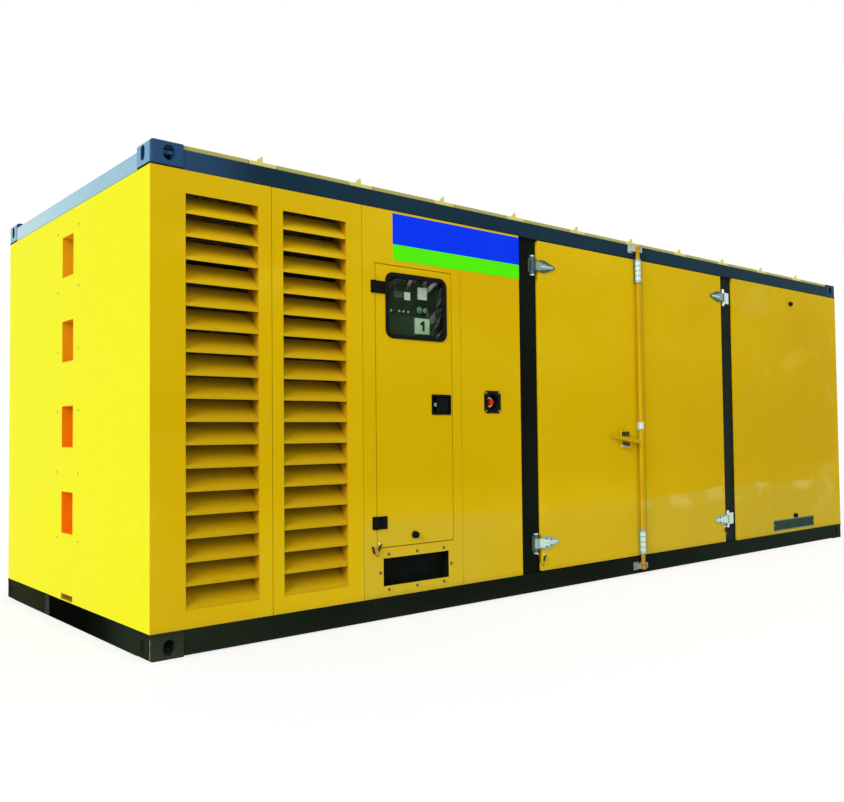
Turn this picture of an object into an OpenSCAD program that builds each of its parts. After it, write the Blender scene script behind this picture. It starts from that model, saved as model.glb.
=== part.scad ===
// Containerised diesel generator: a steel box with corner castings, louvred air
// inlets, a control bay with a glazed door, and a pair of big service doors held
// shut by a lock rod. +Z is up, X runs along the box, the doors face -Y, and the
// origin is at the centre of the base. All sizes are in millimetres.

/* [Overall] */
// Length over the corner castings
body_l = 7315; // [7000:5:9000]
// Width over the corner castings
body_w = 2438; // [2000:1:3000]
// Height over the corner castings
body_h = 2591; // [2500:1:3200]

/* [Corner castings] */
// Casting length along the box
cast_l = 178; // [170:1:220]
// Casting width across the box
cast_w = 162; // [150:1:200]
// Casting height
cast_h = 118; // [112:1:150]
// Wall of a casting
cast_wall = 28; // [15:1:30]
// Radius of a casting's outer edges
cast_r = 20; // [5:1:26]
// Length of the top and bottom apertures
slot_l = 124.5; // [110:0.5:130]
// Width of the top and bottom apertures
slot_w = 63.5; // [50:0.5:70]
// Distance from the casting's end to the middle of its aperture
slot_x = 101.5; // [95:0.5:105]
// Distance from the casting's side to the middle of its aperture
slot_y = 89; // [80:0.5:95]
// Height of the holes in the side and the end
shackle_h = 79.5; // [60:0.5:82]
// Width of the hole in the side
side_hole_w = 63.5; // [50:0.5:70]
// Width of the hole in the end
end_hole_w = 51; // [40:0.5:60]

/* [Frame] */
// Clear height under the bottom side rails
foot_gap = 4; // [2:1:30]
// Clear height under the bottom end rails
end_gap = 3; // [2:1:12]
// Thickness of the plate over a bottom casting, up to the floor
pad_t = 16; // [10:1:40]
// Height of the plate under a top casting, down to the walls
head_t = 10; // [8:1:30]
// Drop from the castings to the top of the side rails
side_drop = 23; // [15:1:40]
// Drop from the castings to the top of the end rails
end_drop = 33; // [20:1:60]
// Wall of the rails and posts
rail_t = 8; // [4:1:12]
// Set-back of the rails behind the castings
rail_set = 2; // [0:1:6]
// Width of a door post
post_w = 190; // [120:5:240]
// Depth of a door post
post_d = 100; // [60:5:150]
// Set-back of the door posts behind the castings
post_set = 26; // [22:1:40]
// Side of a corner post
corner_w = 100; // [80:5:140]
// Floor plate thickness
floor_t = 6; // [4:1:10]
// Pitch of the floor beams
beam_pitch = 620; // [400:10:900]
// Width of a floor beam
beam_w = 60; // [40:5:80]

/* [Walls] */
// Wall thickness
wall_t = 60; // [50:1:100]
// Set-back of the walls behind the castings
wall_set = 3; // [2:1:8]
// Width of the seam between two panels
seam = 3; // [1:0.5:6]
// Depth of the seam between two panels
seam_d = 14; // [5:1:30]
// Width of the first louvre panel, from the left end
panel_1 = 687; // [640:1:720]
// Width of the second louvre panel
panel_2 = 604; // [540:1:680]
// Width of the control panel
panel_3 = 780; // [720:1:900]
// Width of the panel beside the service doors
panel_4 = 547; // [440:1:640]
// Clear width between the door posts
doorway_w = 2349; // [2100:1:2500]
// Width of the removable panel to the right of the doors
hatch_w = 658; // [500:1:800]
// Width of the fixed panel before the removable one
right_w = 651; // [500:1:700]

/* [Louvres] */
// Width of the first louvre
louvre_1_w = 416; // [380:1:450]
// Left edge of the first louvre, from the left end
louvre_1 = 190; // [180:1:200]
// Width of the second louvre
louvre_2_w = 421; // [380:1:450]
// Distance from the second panel's seam to its louvre
louvre_2_in = 71; // [60:1:90]
// Bottom of the louvres
louvre_z = 227; // [180:1:300]
// Pitch of the blades
blade_pitch = 118.5; // [100:0.5:140]
// Least height of wall over a louvre
louvre_over = 100; // [60:1:110]
// Clear height above the top blade's lip
louvre_head = 103; // [90:1:110]
// Thickness of a blade
blade_t = 3; // [2:0.5:5]
// Set-back of the blades from the wall's faces
blade_set = 2; // [1:0.5:6]
// Height of a blade's front lip
blade_lip = 14; // [8:1:20]
// Rise of a blade from its lip to its back edge
blade_rise = 104; // [90:1:135]
// Depth of a louvre's box, from the wall's face to the screen behind it
louvre_deep = 118; // [105:1:130]
// Height of a louvre's box above the opening in the wall's skin
louvre_hood = 60; // [50:1:62]
// Thickness of the wall's skin in front of the hood
skin_t = 3; // [2:0.5:5]
// Sheet thickness of a louvre's box
louvre_t = 3; // [2:0.5:5]
// Thickness of the screen behind a louvre
screen_t = 4; // [2:1:6]
// Overlap of a screen on the box around it
screen_lap = 30; // [15:1:40]

/* [Step pockets] */
// Width of a step pocket
pocket_w = 200; // [150:5:240]
// Height of a step pocket
pocket_h = 250; // [180:2:260]
// Depth of a step pocket
pocket_d = 110; // [80:5:140]
// Bottom of the lowest full pocket
pocket_z = 532; // [500:2:600]
// Pitch of the step pockets
pocket_pitch = 512; // [400:2:520]
// Height of the short toe pocket above the floor
toe_up = 6; // [4:1:30]
// Height of the short toe pocket
toe_h = 36; // [25:1:60]
// Sheet thickness of a pocket
pocket_t = 4; // [2:1:6]

/* [Roof] */
// Depth of the roof panels' folded edge
roof_h = 23; // [18:1:30]
// Sheet thickness of the roof
roof_t = 4; // [3:1:6]
// Width of the straps between the roof panels
strap_w = 166; // [120:2:200]
// Pitch of the roof straps
strap_pitch = 655; // [600:5:700]
// Middle of the first roof strap, from the left end
strap_1 = 640; // [600:5:660]
// Gap between a strap and the panels beside it
roof_gap = 6; // [3:1:10]
// Set-back of the roof's edge behind the castings
roof_set = 12; // [8:1:30]
// Height of a roof lug
lug_h = 31; // [20:1:40]
// Length of a roof lug
lug_l = 34; // [24:1:70]
// Thickness of a roof lug
lug_t = 10; // [6:1:14]
// Length of a roof lug's flat top
lug_top = 10; // [6:1:20]
// Height of a roof lug's low end
lug_toe = 8; // [4:1:16]

/* [Control bay] */
// Distance from the panel's left seam to the control door
cdoor_in = 98; // [80:1:120]
// Width of the control door
cdoor_w = 600; // [540:1:620]
// Bottom of the control door
cdoor_z = 430; // [420:1:460]
// Height of the control door
cdoor_h = 1697; // [1400:1:1720]
// Thickness of the control door
cdoor_t = 40; // [36:1:46]
// Gap around the control door
cdoor_gap = 5; // [5:1:8]
// Distance from the door's right edge to the window's rubber
win_side = 40; // [30:1:80]
// Height of the window over its rubber
win_h = 403; // [300:1:420]
// Corner radius of the window's rubber
win_r = 56; // [40:1:80]
// Distance from the door's left edge to the window's rubber
win_x = 73; // [60:1:90]
// Distance from the door's top to the window's rubber
win_z = 41; // [30:1:60]
// Visible width of the window's rubber
gasket_w = 26; // [20:1:32]
// Height that the rubber stands proud of the door
gasket_h = 6; // [3:1:10]
// Thickness of the window glass
glass_t = 6; // [4:1:8]
// Depth of the groove that holds the glass
glass_lap = 8; // [5:1:10]
// Distance from the window glass to the door's face
glass_in = 12; // [8:1:20]
// Distance the rubber stops short of the door's back
gasket_back = 6; // [2:1:12]
// Depth of the control cabinet behind the wall
cabinet_d = 280; // [200:5:400]
// Sheet thickness of the control cabinet
cabinet_t = 4; // [3:1:6]
// Height of the control cabinet
cabinet_h = 560; // [480:5:700]
// Overlap of the cabinet on the wall beside the door
cabinet_lap = 18; // [10:1:30]
// Height of the cabinet above the door's top edge
cabinet_over = 24; // [10:1:40]
// Set-back of the instrument panel behind the wall's inner face
panel_set = 36; // [20:1:60]
// Height of the cable opening
cable_h = 164; // [120:1:180]
// Width of the cable opening
cable_w = 514; // [400:1:540]
// Distance from the panel's left seam to the cable opening
cable_in = 141; // [110:1:160]
// Bottom of the cable opening
cable_z = 199; // [190:1:210]
// Radius of the holes around the cable opening
cable_hole_r = 4.5; // [3:0.5:6]
// Distance from the opening's edge to the holes above, below and beside it
cable_edge = 23; // [18:1:26]
// Distance from the opening's corner to the outer holes above and below it
cable_inset = 40; // [30:1:60]
// Thickness of the gland plate behind the cable opening
gland_t = 4; // [3:1:8]
// Width of the gland plate outside its holes
gland_rim = 14; // [10:1:20]

/* [Control door hinges] */
// Radius of the control door's hinge pin
cpin_r = 5; // [4:0.5:6]
// Radius of the control door's hinge knuckle
cknuckle_r = 9; // [8:0.5:12]
// Distance from the door's edge to the hinge pin
cpin_out = 8; // [6:1:12]
// Distance the hinge pin stands out from the door's face
cpin_proud = 9; // [9:0.5:14]
// Height of a control door hinge
chinge_h = 76; // [60:2:100]
// Length of a hinge leaf on the wall
cleaf_l = 28; // [20:1:34]
// Length of a hinge strap on the door
cstrap_l = 80; // [60:1:140]
// Thickness of a hinge leaf
cleaf_t = 5; // [4:0.5:8]
// Distance from the door's bottom to the lower hinge
chinge_lo = 146; // [80:1:300]
// Distance from the door's top to the upper hinge
chinge_hi = 141; // [80:1:300]

/* [Latch and stop button] */
// Width of the latch tray
latch_w = 160; // [130:1:170]
// Height of the latch tray
latch_h = 128; // [110:1:140]
// Distance from the door's right edge to the latch tray
latch_edge = 10; // [6:1:20]
// Middle of the latch above the base
latch_z = 1285; // [1200:1:1400]
// Depth of the latch tray
latch_d = 24; // [20:1:28]
// Width of the latch tray's rim
latch_rim = 10; // [8:1:16]
// Sheet thickness of the latch tray
latch_t = 3; // [2:1:4]
// Gap between the paddle and the tray
paddle_gap = 5; // [5:1:8]
// Thickness of the paddle
paddle_t = 8; // [6:1:10]
// Depth of the paddle's face behind the door's
paddle_in = 4; // [3:1:6]
// Radius of the paddle's pin
paddle_pin_r = 3; // [2.5:0.5:3.5]
// Radius of the paddle's barrel
barrel_r = 6; // [5:0.5:7]
// Width of the strip that holds the lock
lock_strip_w = 40; // [34:1:46]
// Radius of the lock
lock_r = 11; // [8:0.5:12]
// Width of the stop button's plate
stop_w = 149; // [130:1:160]
// Distance from the panel's left seam to the stop button
stop_in = 277; // [200:1:300]
// Middle of the stop button above the base
stop_z = 1309; // [1250:1:1400]
// Depth of the stop button's cup
stop_d = 34; // [28:1:45]
// Radius of the stop button's cup
stop_r = 52; // [46:1:56]
// Wall of the stop button's cup
stop_wall = 4; // [3:1:6]
// Corner radius of the stop button's plate
stop_corner = 18; // [8:1:24]
// Share of the plate's width that its clipped corners reach
stop_clip = 0.62; // [0.58:0.01:0.7]
// Thickness of the stop button's plate
stop_plate_t = 5; // [4:1:8]
// Outer radius of the ring under the button
ring_r = 35; // [30:1:40]
// Inner radius of the ring under the button
ring_hole_r = 22; // [18:1:26]
// Thickness of the ring under the button
ring_t = 3; // [2:1:5]
// Radius of the button's head
head_r = 20; // [16:1:24]
// Thickness of the button's head
button_t = 16; // [12:1:18]
// Gap under the button's head before it is pressed
button_gap = 2; // [1:0.5:4]
// Radius of the button's stem
stem_r = 10.9; // [8:0.1:12]
// Travel of the stop button
stop_travel = 5; // [4:1:8]

/* [Service doors] */
// Distance from the first post to the doors' meeting line
meet_in = 1110; // [1000:1:1200]
// Gap around the service doors
door_gap = 6; // [6:1:10]
// Thickness of the service doors
door_t = 60; // [50:1:70]
// Distance from a door's edge to its hinge pin
pin_x = 50; // [45:1:60]
// Radius of a service door's hinge pin
pin_r = 8; // [6:0.5:9]
// Radius of a service door's hinge knuckle
knuckle_r = 13; // [12:0.5:16]
// Length of a service door's hinge
hinge_h = 146; // [120:2:170]
// Length of a hinge strap on a door
strap_l = 168; // [140:2:260]
// Height of a hinge strap at its widest
strap_h = 88; // [60:2:100]
// Thickness of a hinge strap
strap_t = 6; // [4:1:8]
// Distance from a door's top to its upper hinge
hinge_down = 181; // [150:1:300]
// Distance from a door's bottom to its lower hinge
hinge_up = 193; // [150:1:300]
// Length of the left door's hinge leaves on the post
leaf_left = 30; // [26:1:60]
// Length of the right door's hinge leaves on the post
leaf_right = 100; // [60:1:120]
// Width of the strip along the right door's meeting edge
strip_w = 96; // [90:1:140]
// Distance the strip stands out from the right door
strip_t = 2; // [1:0.5:3]
// Distance the strip stops short of the door's top and bottom
strip_in = 10; // [5:1:40]

/* [Lock rod] */
// Radius of the lock rod
rod_r = 16; // [12:0.5:18]
// Distance the rod stands out from the doors' faces
rod_out = 28; // [26:1:34]
// Radius of a cam at the end of the rod
cam_r = 24; // [18:1:28]
// Height of a cam
cam_h = 56; // [40:1:70]
// Height of the handle's hub above the base
hub_z = 1020; // [950:1:1100]
// Length of the handle
handle_l = 350; // [280:5:400]
// Slope of the handle in degrees
handle_tilt = 8; // [0:1:10]
// Height of the handle's flat bar
handle_h = 28; // [20:1:34]
// Thickness of the handle's flat bar
handle_t = 10; // [8:1:14]
// Height of the handle's hub
hub_h = 64; // [50:2:80]
// Wall of the handle's hub around the rod
hub_wall = 8; // [6:1:12]
// Distance from the doors' meeting line to the rod
rod_in = 12; // [8:1:20]
// Distance the rod runs past the door opening at each end
rod_past = 70; // [64:1:80]
// Length of the guide brackets
guide_h = 196; // [150:2:220]
// Length of the middle guide bracket
guide_mid_h = 74; // [60:2:90]
// Wall of a guide around the rod
guide_wall = 7; // [5:1:9]
// Width of a guide's plate on the door
guide_w = 76; // [70:1:90]
// Distance from the door's top to the upper guide
guide_down = 95; // [95:1:120]
// Distance from the door's bottom to the lower guide
guide_up = 108; // [100:1:140]
// Distance from the handle's hub to the middle guide
guide_mid_up = 128; // [110:1:200]
// Distance from the doors' meeting line to the handle's catch
catch_in = 172; // [140:1:240]
// Gap above and below the handle in its catch
catch_gap = 9; // [8:1:14]
// Gap between a cam and the lugs beside it
keeper_gap = 6; // [6:1:10]

/* [Hidden] */
$fn = 48;
eps = 0.01;
over = 1;
run_gap = 0.08;
run_room = 2;
stem_gap = 0.1;
x_left = -body_l / 2;
y_face = -body_w / 2;
floor_z = cast_h + pad_t;
wall_z1 = body_h - cast_h - head_t;
side_top_z = body_h - side_drop;
end_top_z = body_h - end_drop;
shackle_drop = 3;
shackle_z = cast_h / 2 - shackle_drop;
wall_back = wall_set + wall_t;
seam_1 = panel_1;
seam_2 = seam_1 + panel_2;
seam_3 = seam_2 + panel_3;
post_1 = seam_3 + panel_4;
post_2 = post_1 + post_w + doorway_w;
louvre_2 = seam_1 + louvre_2_in;
louvre_room = wall_z1 - louvre_over - louvre_head - louvre_z;
blade_count = floor(louvre_room / blade_pitch) + 1;
louvre_top = louvre_z + (blade_count - 1) * blade_pitch + louvre_head;
hood_top = louvre_top + louvre_hood;
louvre_back = wall_set + louvre_deep;
pocket_count = floor((wall_z1 - pocket_z - pocket_h) / pocket_pitch) + 1;
toe_z = floor_z + toe_up;
hatch_1 = post_2 + post_w + right_w;
hatch_2 = hatch_1 + hatch_w;
door_1 = post_1 + post_w + door_gap;
door_2 = post_2 - door_gap;
door_z0 = floor_z + door_gap;
door_z1 = wall_z1 - door_gap;
door_face = wall_set;
meet_x = post_1 + post_w + meet_in;
hinge_z = [door_z0 + hinge_up, door_z1 - hinge_down];
beam_z0 = foot_gap + rail_t;
beam_count = floor((body_l - 2 * cast_l) / beam_pitch);
cdoor_x = seam_2 + cdoor_in;
cdoor_z1 = cdoor_z + cdoor_h;
cpin_s = cdoor_x - cpin_out;
cpin_d = wall_set - cpin_proud;
chinge_z = [cdoor_z + chinge_lo, cdoor_z1 - chinge_hi];
win_w = cdoor_w - win_x - win_side;
glass_d = wall_set + glass_in;
cabinet_s0 = cdoor_x - cabinet_lap;
cabinet_s1 = cdoor_x + cdoor_w + cabinet_lap;
cabinet_z1 = cdoor_z1 + cabinet_over;
cabinet_z0 = cabinet_z1 - cabinet_h;
cable_x = seam_2 + cable_in;
latch_s0 = cdoor_x + cdoor_w - latch_edge - latch_w;
latch_z0 = latch_z - latch_h / 2;
latch_z1 = latch_z + latch_h / 2;
paddle_s0 = latch_s0 + latch_rim + lock_strip_w;
paddle_s1 = latch_s0 + latch_w - latch_rim - latch_t - paddle_gap;
paddle_half_h = latch_h / 2 - latch_rim - latch_t - paddle_gap;
paddle_d = wall_set + paddle_in;
barrel_d = paddle_d + paddle_t / 2;
stop_x = seam_3 + stop_in;
stop_back = wall_set + stop_d;
strap_count = floor((body_l - strap_1 - strap_w - cast_l) / strap_pitch) + 1;
pin_gap = 1;
arm_room = 6;
strap_neck = 62;
strap_shoulder = 20;
guide_t = 5;
guide_end = 12;
keeper_t = 5;
keeper_h = 20;
keeper_w1 = 46;
keeper_foot1 = 14;
keeper_w2 = 20;
keeper_foot2 = 6;
catch_t = 4;
catch_w = 56;
catch_h = 42;
catch_lug_h = 36;
catch_out = 8;
catch_in_s = 6;
pin_d = post_set - knuckle_r - pin_gap;
left_pin_s = door_1 - pin_x;
right_pin_s = door_2 + pin_x;
rod_s = meet_x + rod_in;
rod_d = door_face - rod_out;
rod_z0 = floor_z - rod_past;
rod_z1 = wall_z1 + rod_past;
guide_z0 = door_z0 + guide_up;
guide_z1 = door_z1 - guide_down;

YELLOW = [0.83, 0.69, 0.08];
BLACK = [0.07, 0.10, 0.09];
ZINC = [0.72, 0.80, 0.76];
RUBBER = [0.05, 0.05, 0.05];

// ---- Helpers ----

// A block on the front face: s along the box from its left end, z up, and d the
// depth behind the castings' face (negative stands proud).
module face_box(s0, s1, z0, z1, d0, d1) {
    translate([x_left + s0, y_face + d0, z0])
        cube([s1 - s0, d1 - d0, z1 - z0]);
}

// A flat outline drawn in (s, z) and given a depth from d0 to d1.
module face_plate(d0, d1) {
    translate([x_left, y_face + d1, 0])
        rotate([90, 0, 0])
            linear_extrude(d1 - d0)
                children();
}

// A round bar or hole straight into the front face.
module face_rod(s, z, r, d0, d1) {
    translate([x_left + s, y_face + d1, z])
        rotate([90, 0, 0])
            cylinder(h = d1 - d0, r = r);
}

// An upright round bar at depth d.
module upright(s, d, z0, z1, r) {
    translate([x_left + s, y_face + d, z0])
        cylinder(h = z1 - z0, r = r);
}

// The same shape on the front and on the back.
module both_sides() {
    children();
    mirror([0, 1, 0])
        children();
}

// The same shape at both ends.
module both_ends() {
    children();
    mirror([1, 0, 0])
        children();
}

// A slot with round ends, along X if it is wider than it is high.
module stadium(w, h) {
    r = min(w, h) / 2;
    square([w - (w > h ? 2 * r : 0), h - (w > h ? 0 : 2 * r)], center = true);
    for (side = [-1, 1])
        translate([side * (w / 2 - r), side * (h / 2 - r)])
            circle(r);
}

// A rectangle with its lower left corner at the origin and four round corners.
module round_rect(w, h, r) {
    translate([r, 0])
        square([w - 2 * r, h]);
    translate([0, r])
        square([w, h - 2 * r]);
    for (x = [r, w - r], y = [r, h - r])
        translate([x, y])
            circle(r);
}

// A rectangle whose corner at the origin is round.
module one_round_rect(w, h, r) {
    translate([r, 0])
        square([w - r, h]);
    translate([0, r])
        square([w, h - r]);
    translate([r, r])
        circle(r);
}

// ---- Corner castings ----

// One hollow casting with its outer corner at the origin, running to +X and +Y,
// and standing on its apertured face.
module casting() {
    inner_t = cast_wall / 2;
    difference() {
        intersection() {
            translate([0, cast_w, 0])
                rotate([90, 0, 0])
                    linear_extrude(cast_w)
                        one_round_rect(cast_l, cast_h, cast_r);
            linear_extrude(cast_h)
                one_round_rect(cast_l, cast_w, cast_r);
        }
        translate([cast_wall, cast_wall, cast_wall])
            cube([
                cast_l - cast_wall - inner_t,
                cast_w - cast_wall - inner_t,
                cast_h - cast_wall - inner_t]);
        translate([slot_x, slot_y, -eps])
            linear_extrude(cast_wall + 2 * eps)
                stadium(slot_l, slot_w);
        translate([slot_x, cast_wall + eps, shackle_z])
            rotate([90, 0, 0])
                linear_extrude(cast_wall + 2 * eps)
                    stadium(side_hole_w, shackle_h);
        translate([-eps, slot_y, shackle_z])
            rotate([90, 0, 90])
                linear_extrude(cast_wall + 2 * eps)
                    stadium(end_hole_w, shackle_h);
    }
}

module four_castings() {
    both_sides()
        both_ends()
            translate([x_left, y_face, 0])
                casting();
}

module bottom_castings() {
    color(BLACK)
        four_castings();
}

module top_castings() {
    color(BLACK)
        translate([0, 0, body_h])
            mirror([0, 0, 1])
                four_castings();
}

// ---- Frame ----

// A channel-shaped rail that opens inwards.
module side_rail(z0, z1) {
    difference() {
        face_box(cast_l, body_l - cast_l, z0, z1, rail_set, cast_w);
        face_box(
            cast_l - over, body_l - cast_l + over, z0 + rail_t, z1 - rail_t,
            rail_set + rail_t, cast_w + over);
    }
}

module bottom_side_rails() {
    color(BLACK)
        both_sides()
            side_rail(foot_gap, floor_z);
}

module top_side_rails() {
    color(BLACK)
        both_sides()
            side_rail(wall_z1, side_top_z);
}

// Plates that close the height between each casting and the walls.
module casting_pads() {
    color(BLACK)
        both_sides()
            both_ends() {
                face_box(rail_set, cast_l, cast_h, floor_z, rail_set, cast_w);
                face_box(rail_set, cast_l, wall_z1, body_h - cast_h, rail_set, cast_w);
            }
}

// A channel across the end, opening inwards, between the two side rails.
module end_rail(z0, z1) {
    span = body_w - 2 * cast_w;
    difference() {
        translate([x_left + rail_set, -span / 2, z0])
            cube([cast_l - rail_set, span, z1 - z0]);
        translate([x_left + rail_set + rail_t, -span / 2 - over, z0 + rail_t])
            cube([cast_l, span + 2 * over, z1 - z0 - 2 * rail_t]);
    }
}

module bottom_end_rails() {
    color(BLACK)
        both_ends()
            end_rail(end_gap, floor_z);
}

module top_end_rails() {
    color(BLACK)
        both_ends()
            end_rail(wall_z1, end_top_z);
}

module door_posts() {
    color(BLACK)
        both_sides()
            for (s = [post_1, post_2])
                difference() {
                    face_box(s, s + post_w, floor_z, wall_z1, post_set, post_set + post_d);
                    face_box(
                        s + rail_t, s + post_w - rail_t, floor_z - over, wall_z1 + over,
                        post_set + rail_t, post_set + post_d - rail_t);
                }
}

module corner_posts() {
    color(YELLOW)
        both_sides()
            both_ends()
                translate([x_left + wall_set, y_face + wall_set, floor_z])
                    linear_extrude(wall_z1 - floor_z)
                        difference() {
                            square(corner_w - wall_set);
                            translate([rail_t, rail_t])
                                square(corner_w - wall_set - 2 * rail_t);
                        }
}

module floor_beams() {
    span = body_w - 2 * cast_w;
    first = -(beam_count - 1) / 2 * beam_pitch;
    color(BLACK)
        for (i = [0:beam_count - 1])
            translate([first + i * beam_pitch - beam_w / 2, -span / 2, beam_z0])
                cube([beam_w, span, floor_z - floor_t - beam_z0]);
}

module floor_plate() {
    span = body_w - 2 * cast_w;
    color([0.25, 0.27, 0.27])
        translate([x_left + cast_l, -span / 2, floor_z - floor_t])
            cube([body_l - 2 * cast_l, span, floor_t]);
}

// ---- Walls ----

// A wall panel on the front, grooved at each edge that meets another panel.
module wall_panel(s0, s1, groove_left = true, groove_right = true) {
    left = groove_left ? seam / 2 : 0;
    right = groove_right ? seam / 2 : 0;
    face_box(s0 + left, s1 - right, floor_z, wall_z1, wall_set, wall_back);
    face_box(s0, s1, floor_z, wall_z1, wall_set + seam_d, wall_back);
}

module end_wall_slab() {
    span = body_w - 2 * corner_w;
    translate([x_left + wall_set, -span / 2, floor_z])
        cube([wall_t, span, wall_z1 - floor_z]);
}

// Calls its children at the place of each step pocket, with its height in $h.
module at_pockets() {
    for (i = [0:pocket_count - 1])
        translate([x_left + wall_set, 0, pocket_z + i * pocket_pitch])
            let ($h = pocket_h)
                children();
    translate([x_left + wall_set, 0, toe_z])
        let ($h = toe_h)
            children();
}

module left_end_wall() {
    color(YELLOW)
        difference() {
            end_wall_slab();
            at_pockets()
                translate([-over, -pocket_w / 2, 0])
                    cube([wall_t + 2 * over, pocket_w, $h]);
        }
}

module step_pockets() {
    color(YELLOW)
        at_pockets()
            translate([0, -pocket_w / 2, 0])
                difference() {
                    cube([pocket_d, pocket_w, $h]);
                    translate([-over, pocket_t, pocket_t])
                        cube([
                            pocket_d - pocket_t + over,
                            pocket_w - 2 * pocket_t,
                            $h - 2 * pocket_t]);
                }
}

module right_end_wall() {
    color(YELLOW)
        mirror([1, 0, 0])
            end_wall_slab();
}

// The hole for a louvre: its hood rises behind the wall's skin.
module louvre_cut(s, w) {
    face_box(s, s + w, louvre_z, louvre_top, wall_set - over, wall_back + over);
    face_box(s, s + w, louvre_z, hood_top, wall_set + skin_t, wall_back + over);
}

module louvre_walls() {
    difference() {
        wall_panel(corner_w, seam_1, groove_left = false);
        louvre_cut(louvre_1, louvre_1_w);
    }
    difference() {
        wall_panel(seam_1, seam_2);
        louvre_cut(louvre_2, louvre_2_w);
    }
}

// The sheet box behind the wall that holds a louvre's blades.
module louvre_box(s, w) {
    difference() {
        face_box(
            s - louvre_t, s + w + louvre_t, louvre_z - louvre_t, hood_top + louvre_t,
            wall_back, louvre_back);
        face_box(s, s + w, louvre_z, hood_top, wall_back - over, louvre_back + over);
    }
}

// One bank of sloping blades, each with an upright lip along its front.
module louvre_bank(s, w) {
    front = blade_set;
    back = louvre_deep - blade_set;
    profile = [
        [front, 0],
        [front + blade_t, 0],
        [front + blade_t, blade_lip - blade_t],
        [back, blade_lip + blade_rise - blade_t],
        [back, blade_lip + blade_rise],
        [front, blade_lip]];
    for (i = [0:blade_count - 1])
        translate([x_left + s, y_face + wall_set, louvre_z + i * blade_pitch])
            rotate([90, 0, 90])
                linear_extrude(w)
                    polygon(profile);
}

module louvre_blades() {
    louvre_bank(louvre_1, louvre_1_w);
    louvre_bank(louvre_2, louvre_2_w);
}

module louvre_screen(s, w) {
    face_box(
        s - screen_lap, s + w + screen_lap, louvre_z - screen_lap,
        hood_top + screen_lap, louvre_back, louvre_back + screen_t);
}

module front_louvre_walls() {
    color(YELLOW)
        louvre_walls();
}

module front_louvre_blades() {
    color(YELLOW)
        louvre_blades();
}

module louvre_boxes() {
    color(YELLOW)
        both_sides() {
            louvre_box(louvre_1, louvre_1_w);
            louvre_box(louvre_2, louvre_2_w);
        }
}

module louvre_screens() {
    color(RUBBER)
        both_sides() {
            louvre_screen(louvre_1, louvre_1_w);
            louvre_screen(louvre_2, louvre_2_w);
        }
}

// Calls its children at each screw place around the cable opening.
module at_gland_holes() {
    mid_s = cable_x + cable_w / 2;
    mid_z = cable_z + cable_h / 2;
    across = cable_w / 2 - cable_inset;
    up = cable_h / 2 + cable_edge;
    for (i = [-1, 0, 1], j = [-1, 1])
        translate([mid_s + i * across, mid_z + j * up])
            children();
    for (i = [-1, 1])
        translate([mid_s + i * (cable_w / 2 + cable_edge), mid_z])
            children();
}

module control_wall() {
    color(YELLOW)
        difference() {
            wall_panel(seam_2, seam_3);
            face_box(
                cdoor_x - cdoor_gap, cdoor_x + cdoor_w + cdoor_gap,
                cdoor_z - cdoor_gap, cdoor_z1 + cdoor_gap,
                wall_set - over, wall_back + over);
            face_box(
                cable_x, cable_x + cable_w, cable_z, cable_z + cable_h,
                wall_set - over, wall_back + over);
            face_plate(wall_set - over, wall_back + over)
                at_gland_holes()
                    circle(cable_hole_r);
        }
}

module gland_plate() {
    rim = cable_edge + gland_rim;
    color(BLACK)
        face_plate(wall_back, wall_back + gland_t)
            difference() {
                translate([cable_x - rim, cable_z - rim])
                    square([cable_w + 2 * rim, cable_h + 2 * rim]);
                at_gland_holes()
                    circle(cable_hole_r);
            }
}

module service_wall() {
    color(YELLOW)
        difference() {
            wall_panel(seam_3, post_1, groove_right = false);
            face_rod(stop_x, stop_z, stop_r + stop_wall, wall_set - over, wall_back + over);
        }
}

module right_wall() {
    color(YELLOW) {
        wall_panel(post_2 + post_w, hatch_1, groove_left = false);
        wall_panel(hatch_1, hatch_2);
        wall_panel(hatch_2, body_l - corner_w, groove_right = false);
    }
}

module back_walls() {
    mid = (post_1 + post_w + post_2) / 2;
    color(YELLOW)
        mirror([0, 1, 0]) {
            louvre_walls();
            wall_panel(seam_2, seam_3);
            wall_panel(seam_3, post_1, groove_right = false);
            wall_panel(post_1 + post_w, mid, groove_left = false);
            wall_panel(mid, post_2, groove_right = false);
            wall_panel(post_2 + post_w, hatch_1, groove_left = false);
            wall_panel(hatch_1, hatch_2);
            wall_panel(hatch_2, body_l - corner_w, groove_right = false);
        }
}

module back_louvre_blades() {
    color(YELLOW)
        mirror([0, 1, 0])
            louvre_blades();
}

// ---- Roof ----

function strap_mid(i) = strap_1 + i * strap_pitch;

// A folded tray from s0 to s1, open below.
module roof_tray(s0, s1) {
    span = body_w - 2 * roof_set;
    translate([x_left + s0, -span / 2, side_top_z])
        difference() {
            cube([s1 - s0, span, roof_h]);
            translate([roof_t, roof_t, -over])
                cube([s1 - s0 - 2 * roof_t, span - 2 * roof_t, roof_h - roof_t + over]);
        }
}

module roof_panels() {
    half = strap_w / 2 + roof_gap;
    starts = concat(
        [cast_l + roof_gap],
        [for (i = [0:strap_count - 1]) strap_mid(i) + half]);
    ends = concat(
        [for (i = [0:strap_count - 1]) strap_mid(i) - half],
        [body_l - cast_l - roof_gap]);
    color(YELLOW)
        for (i = [0:strap_count])
            roof_tray(starts[i], ends[i]);
}

// The lug is a low gusset with one upright edge.
module roof_lug(s) {
    top = side_top_z + roof_h;
    face_plate(roof_set, roof_set + lug_t)
        polygon([
            [s - lug_l, top],
            [s, top],
            [s, top + lug_h],
            [s - lug_top, top + lug_h],
            [s - lug_l, top + lug_toe]]);
}

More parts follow.
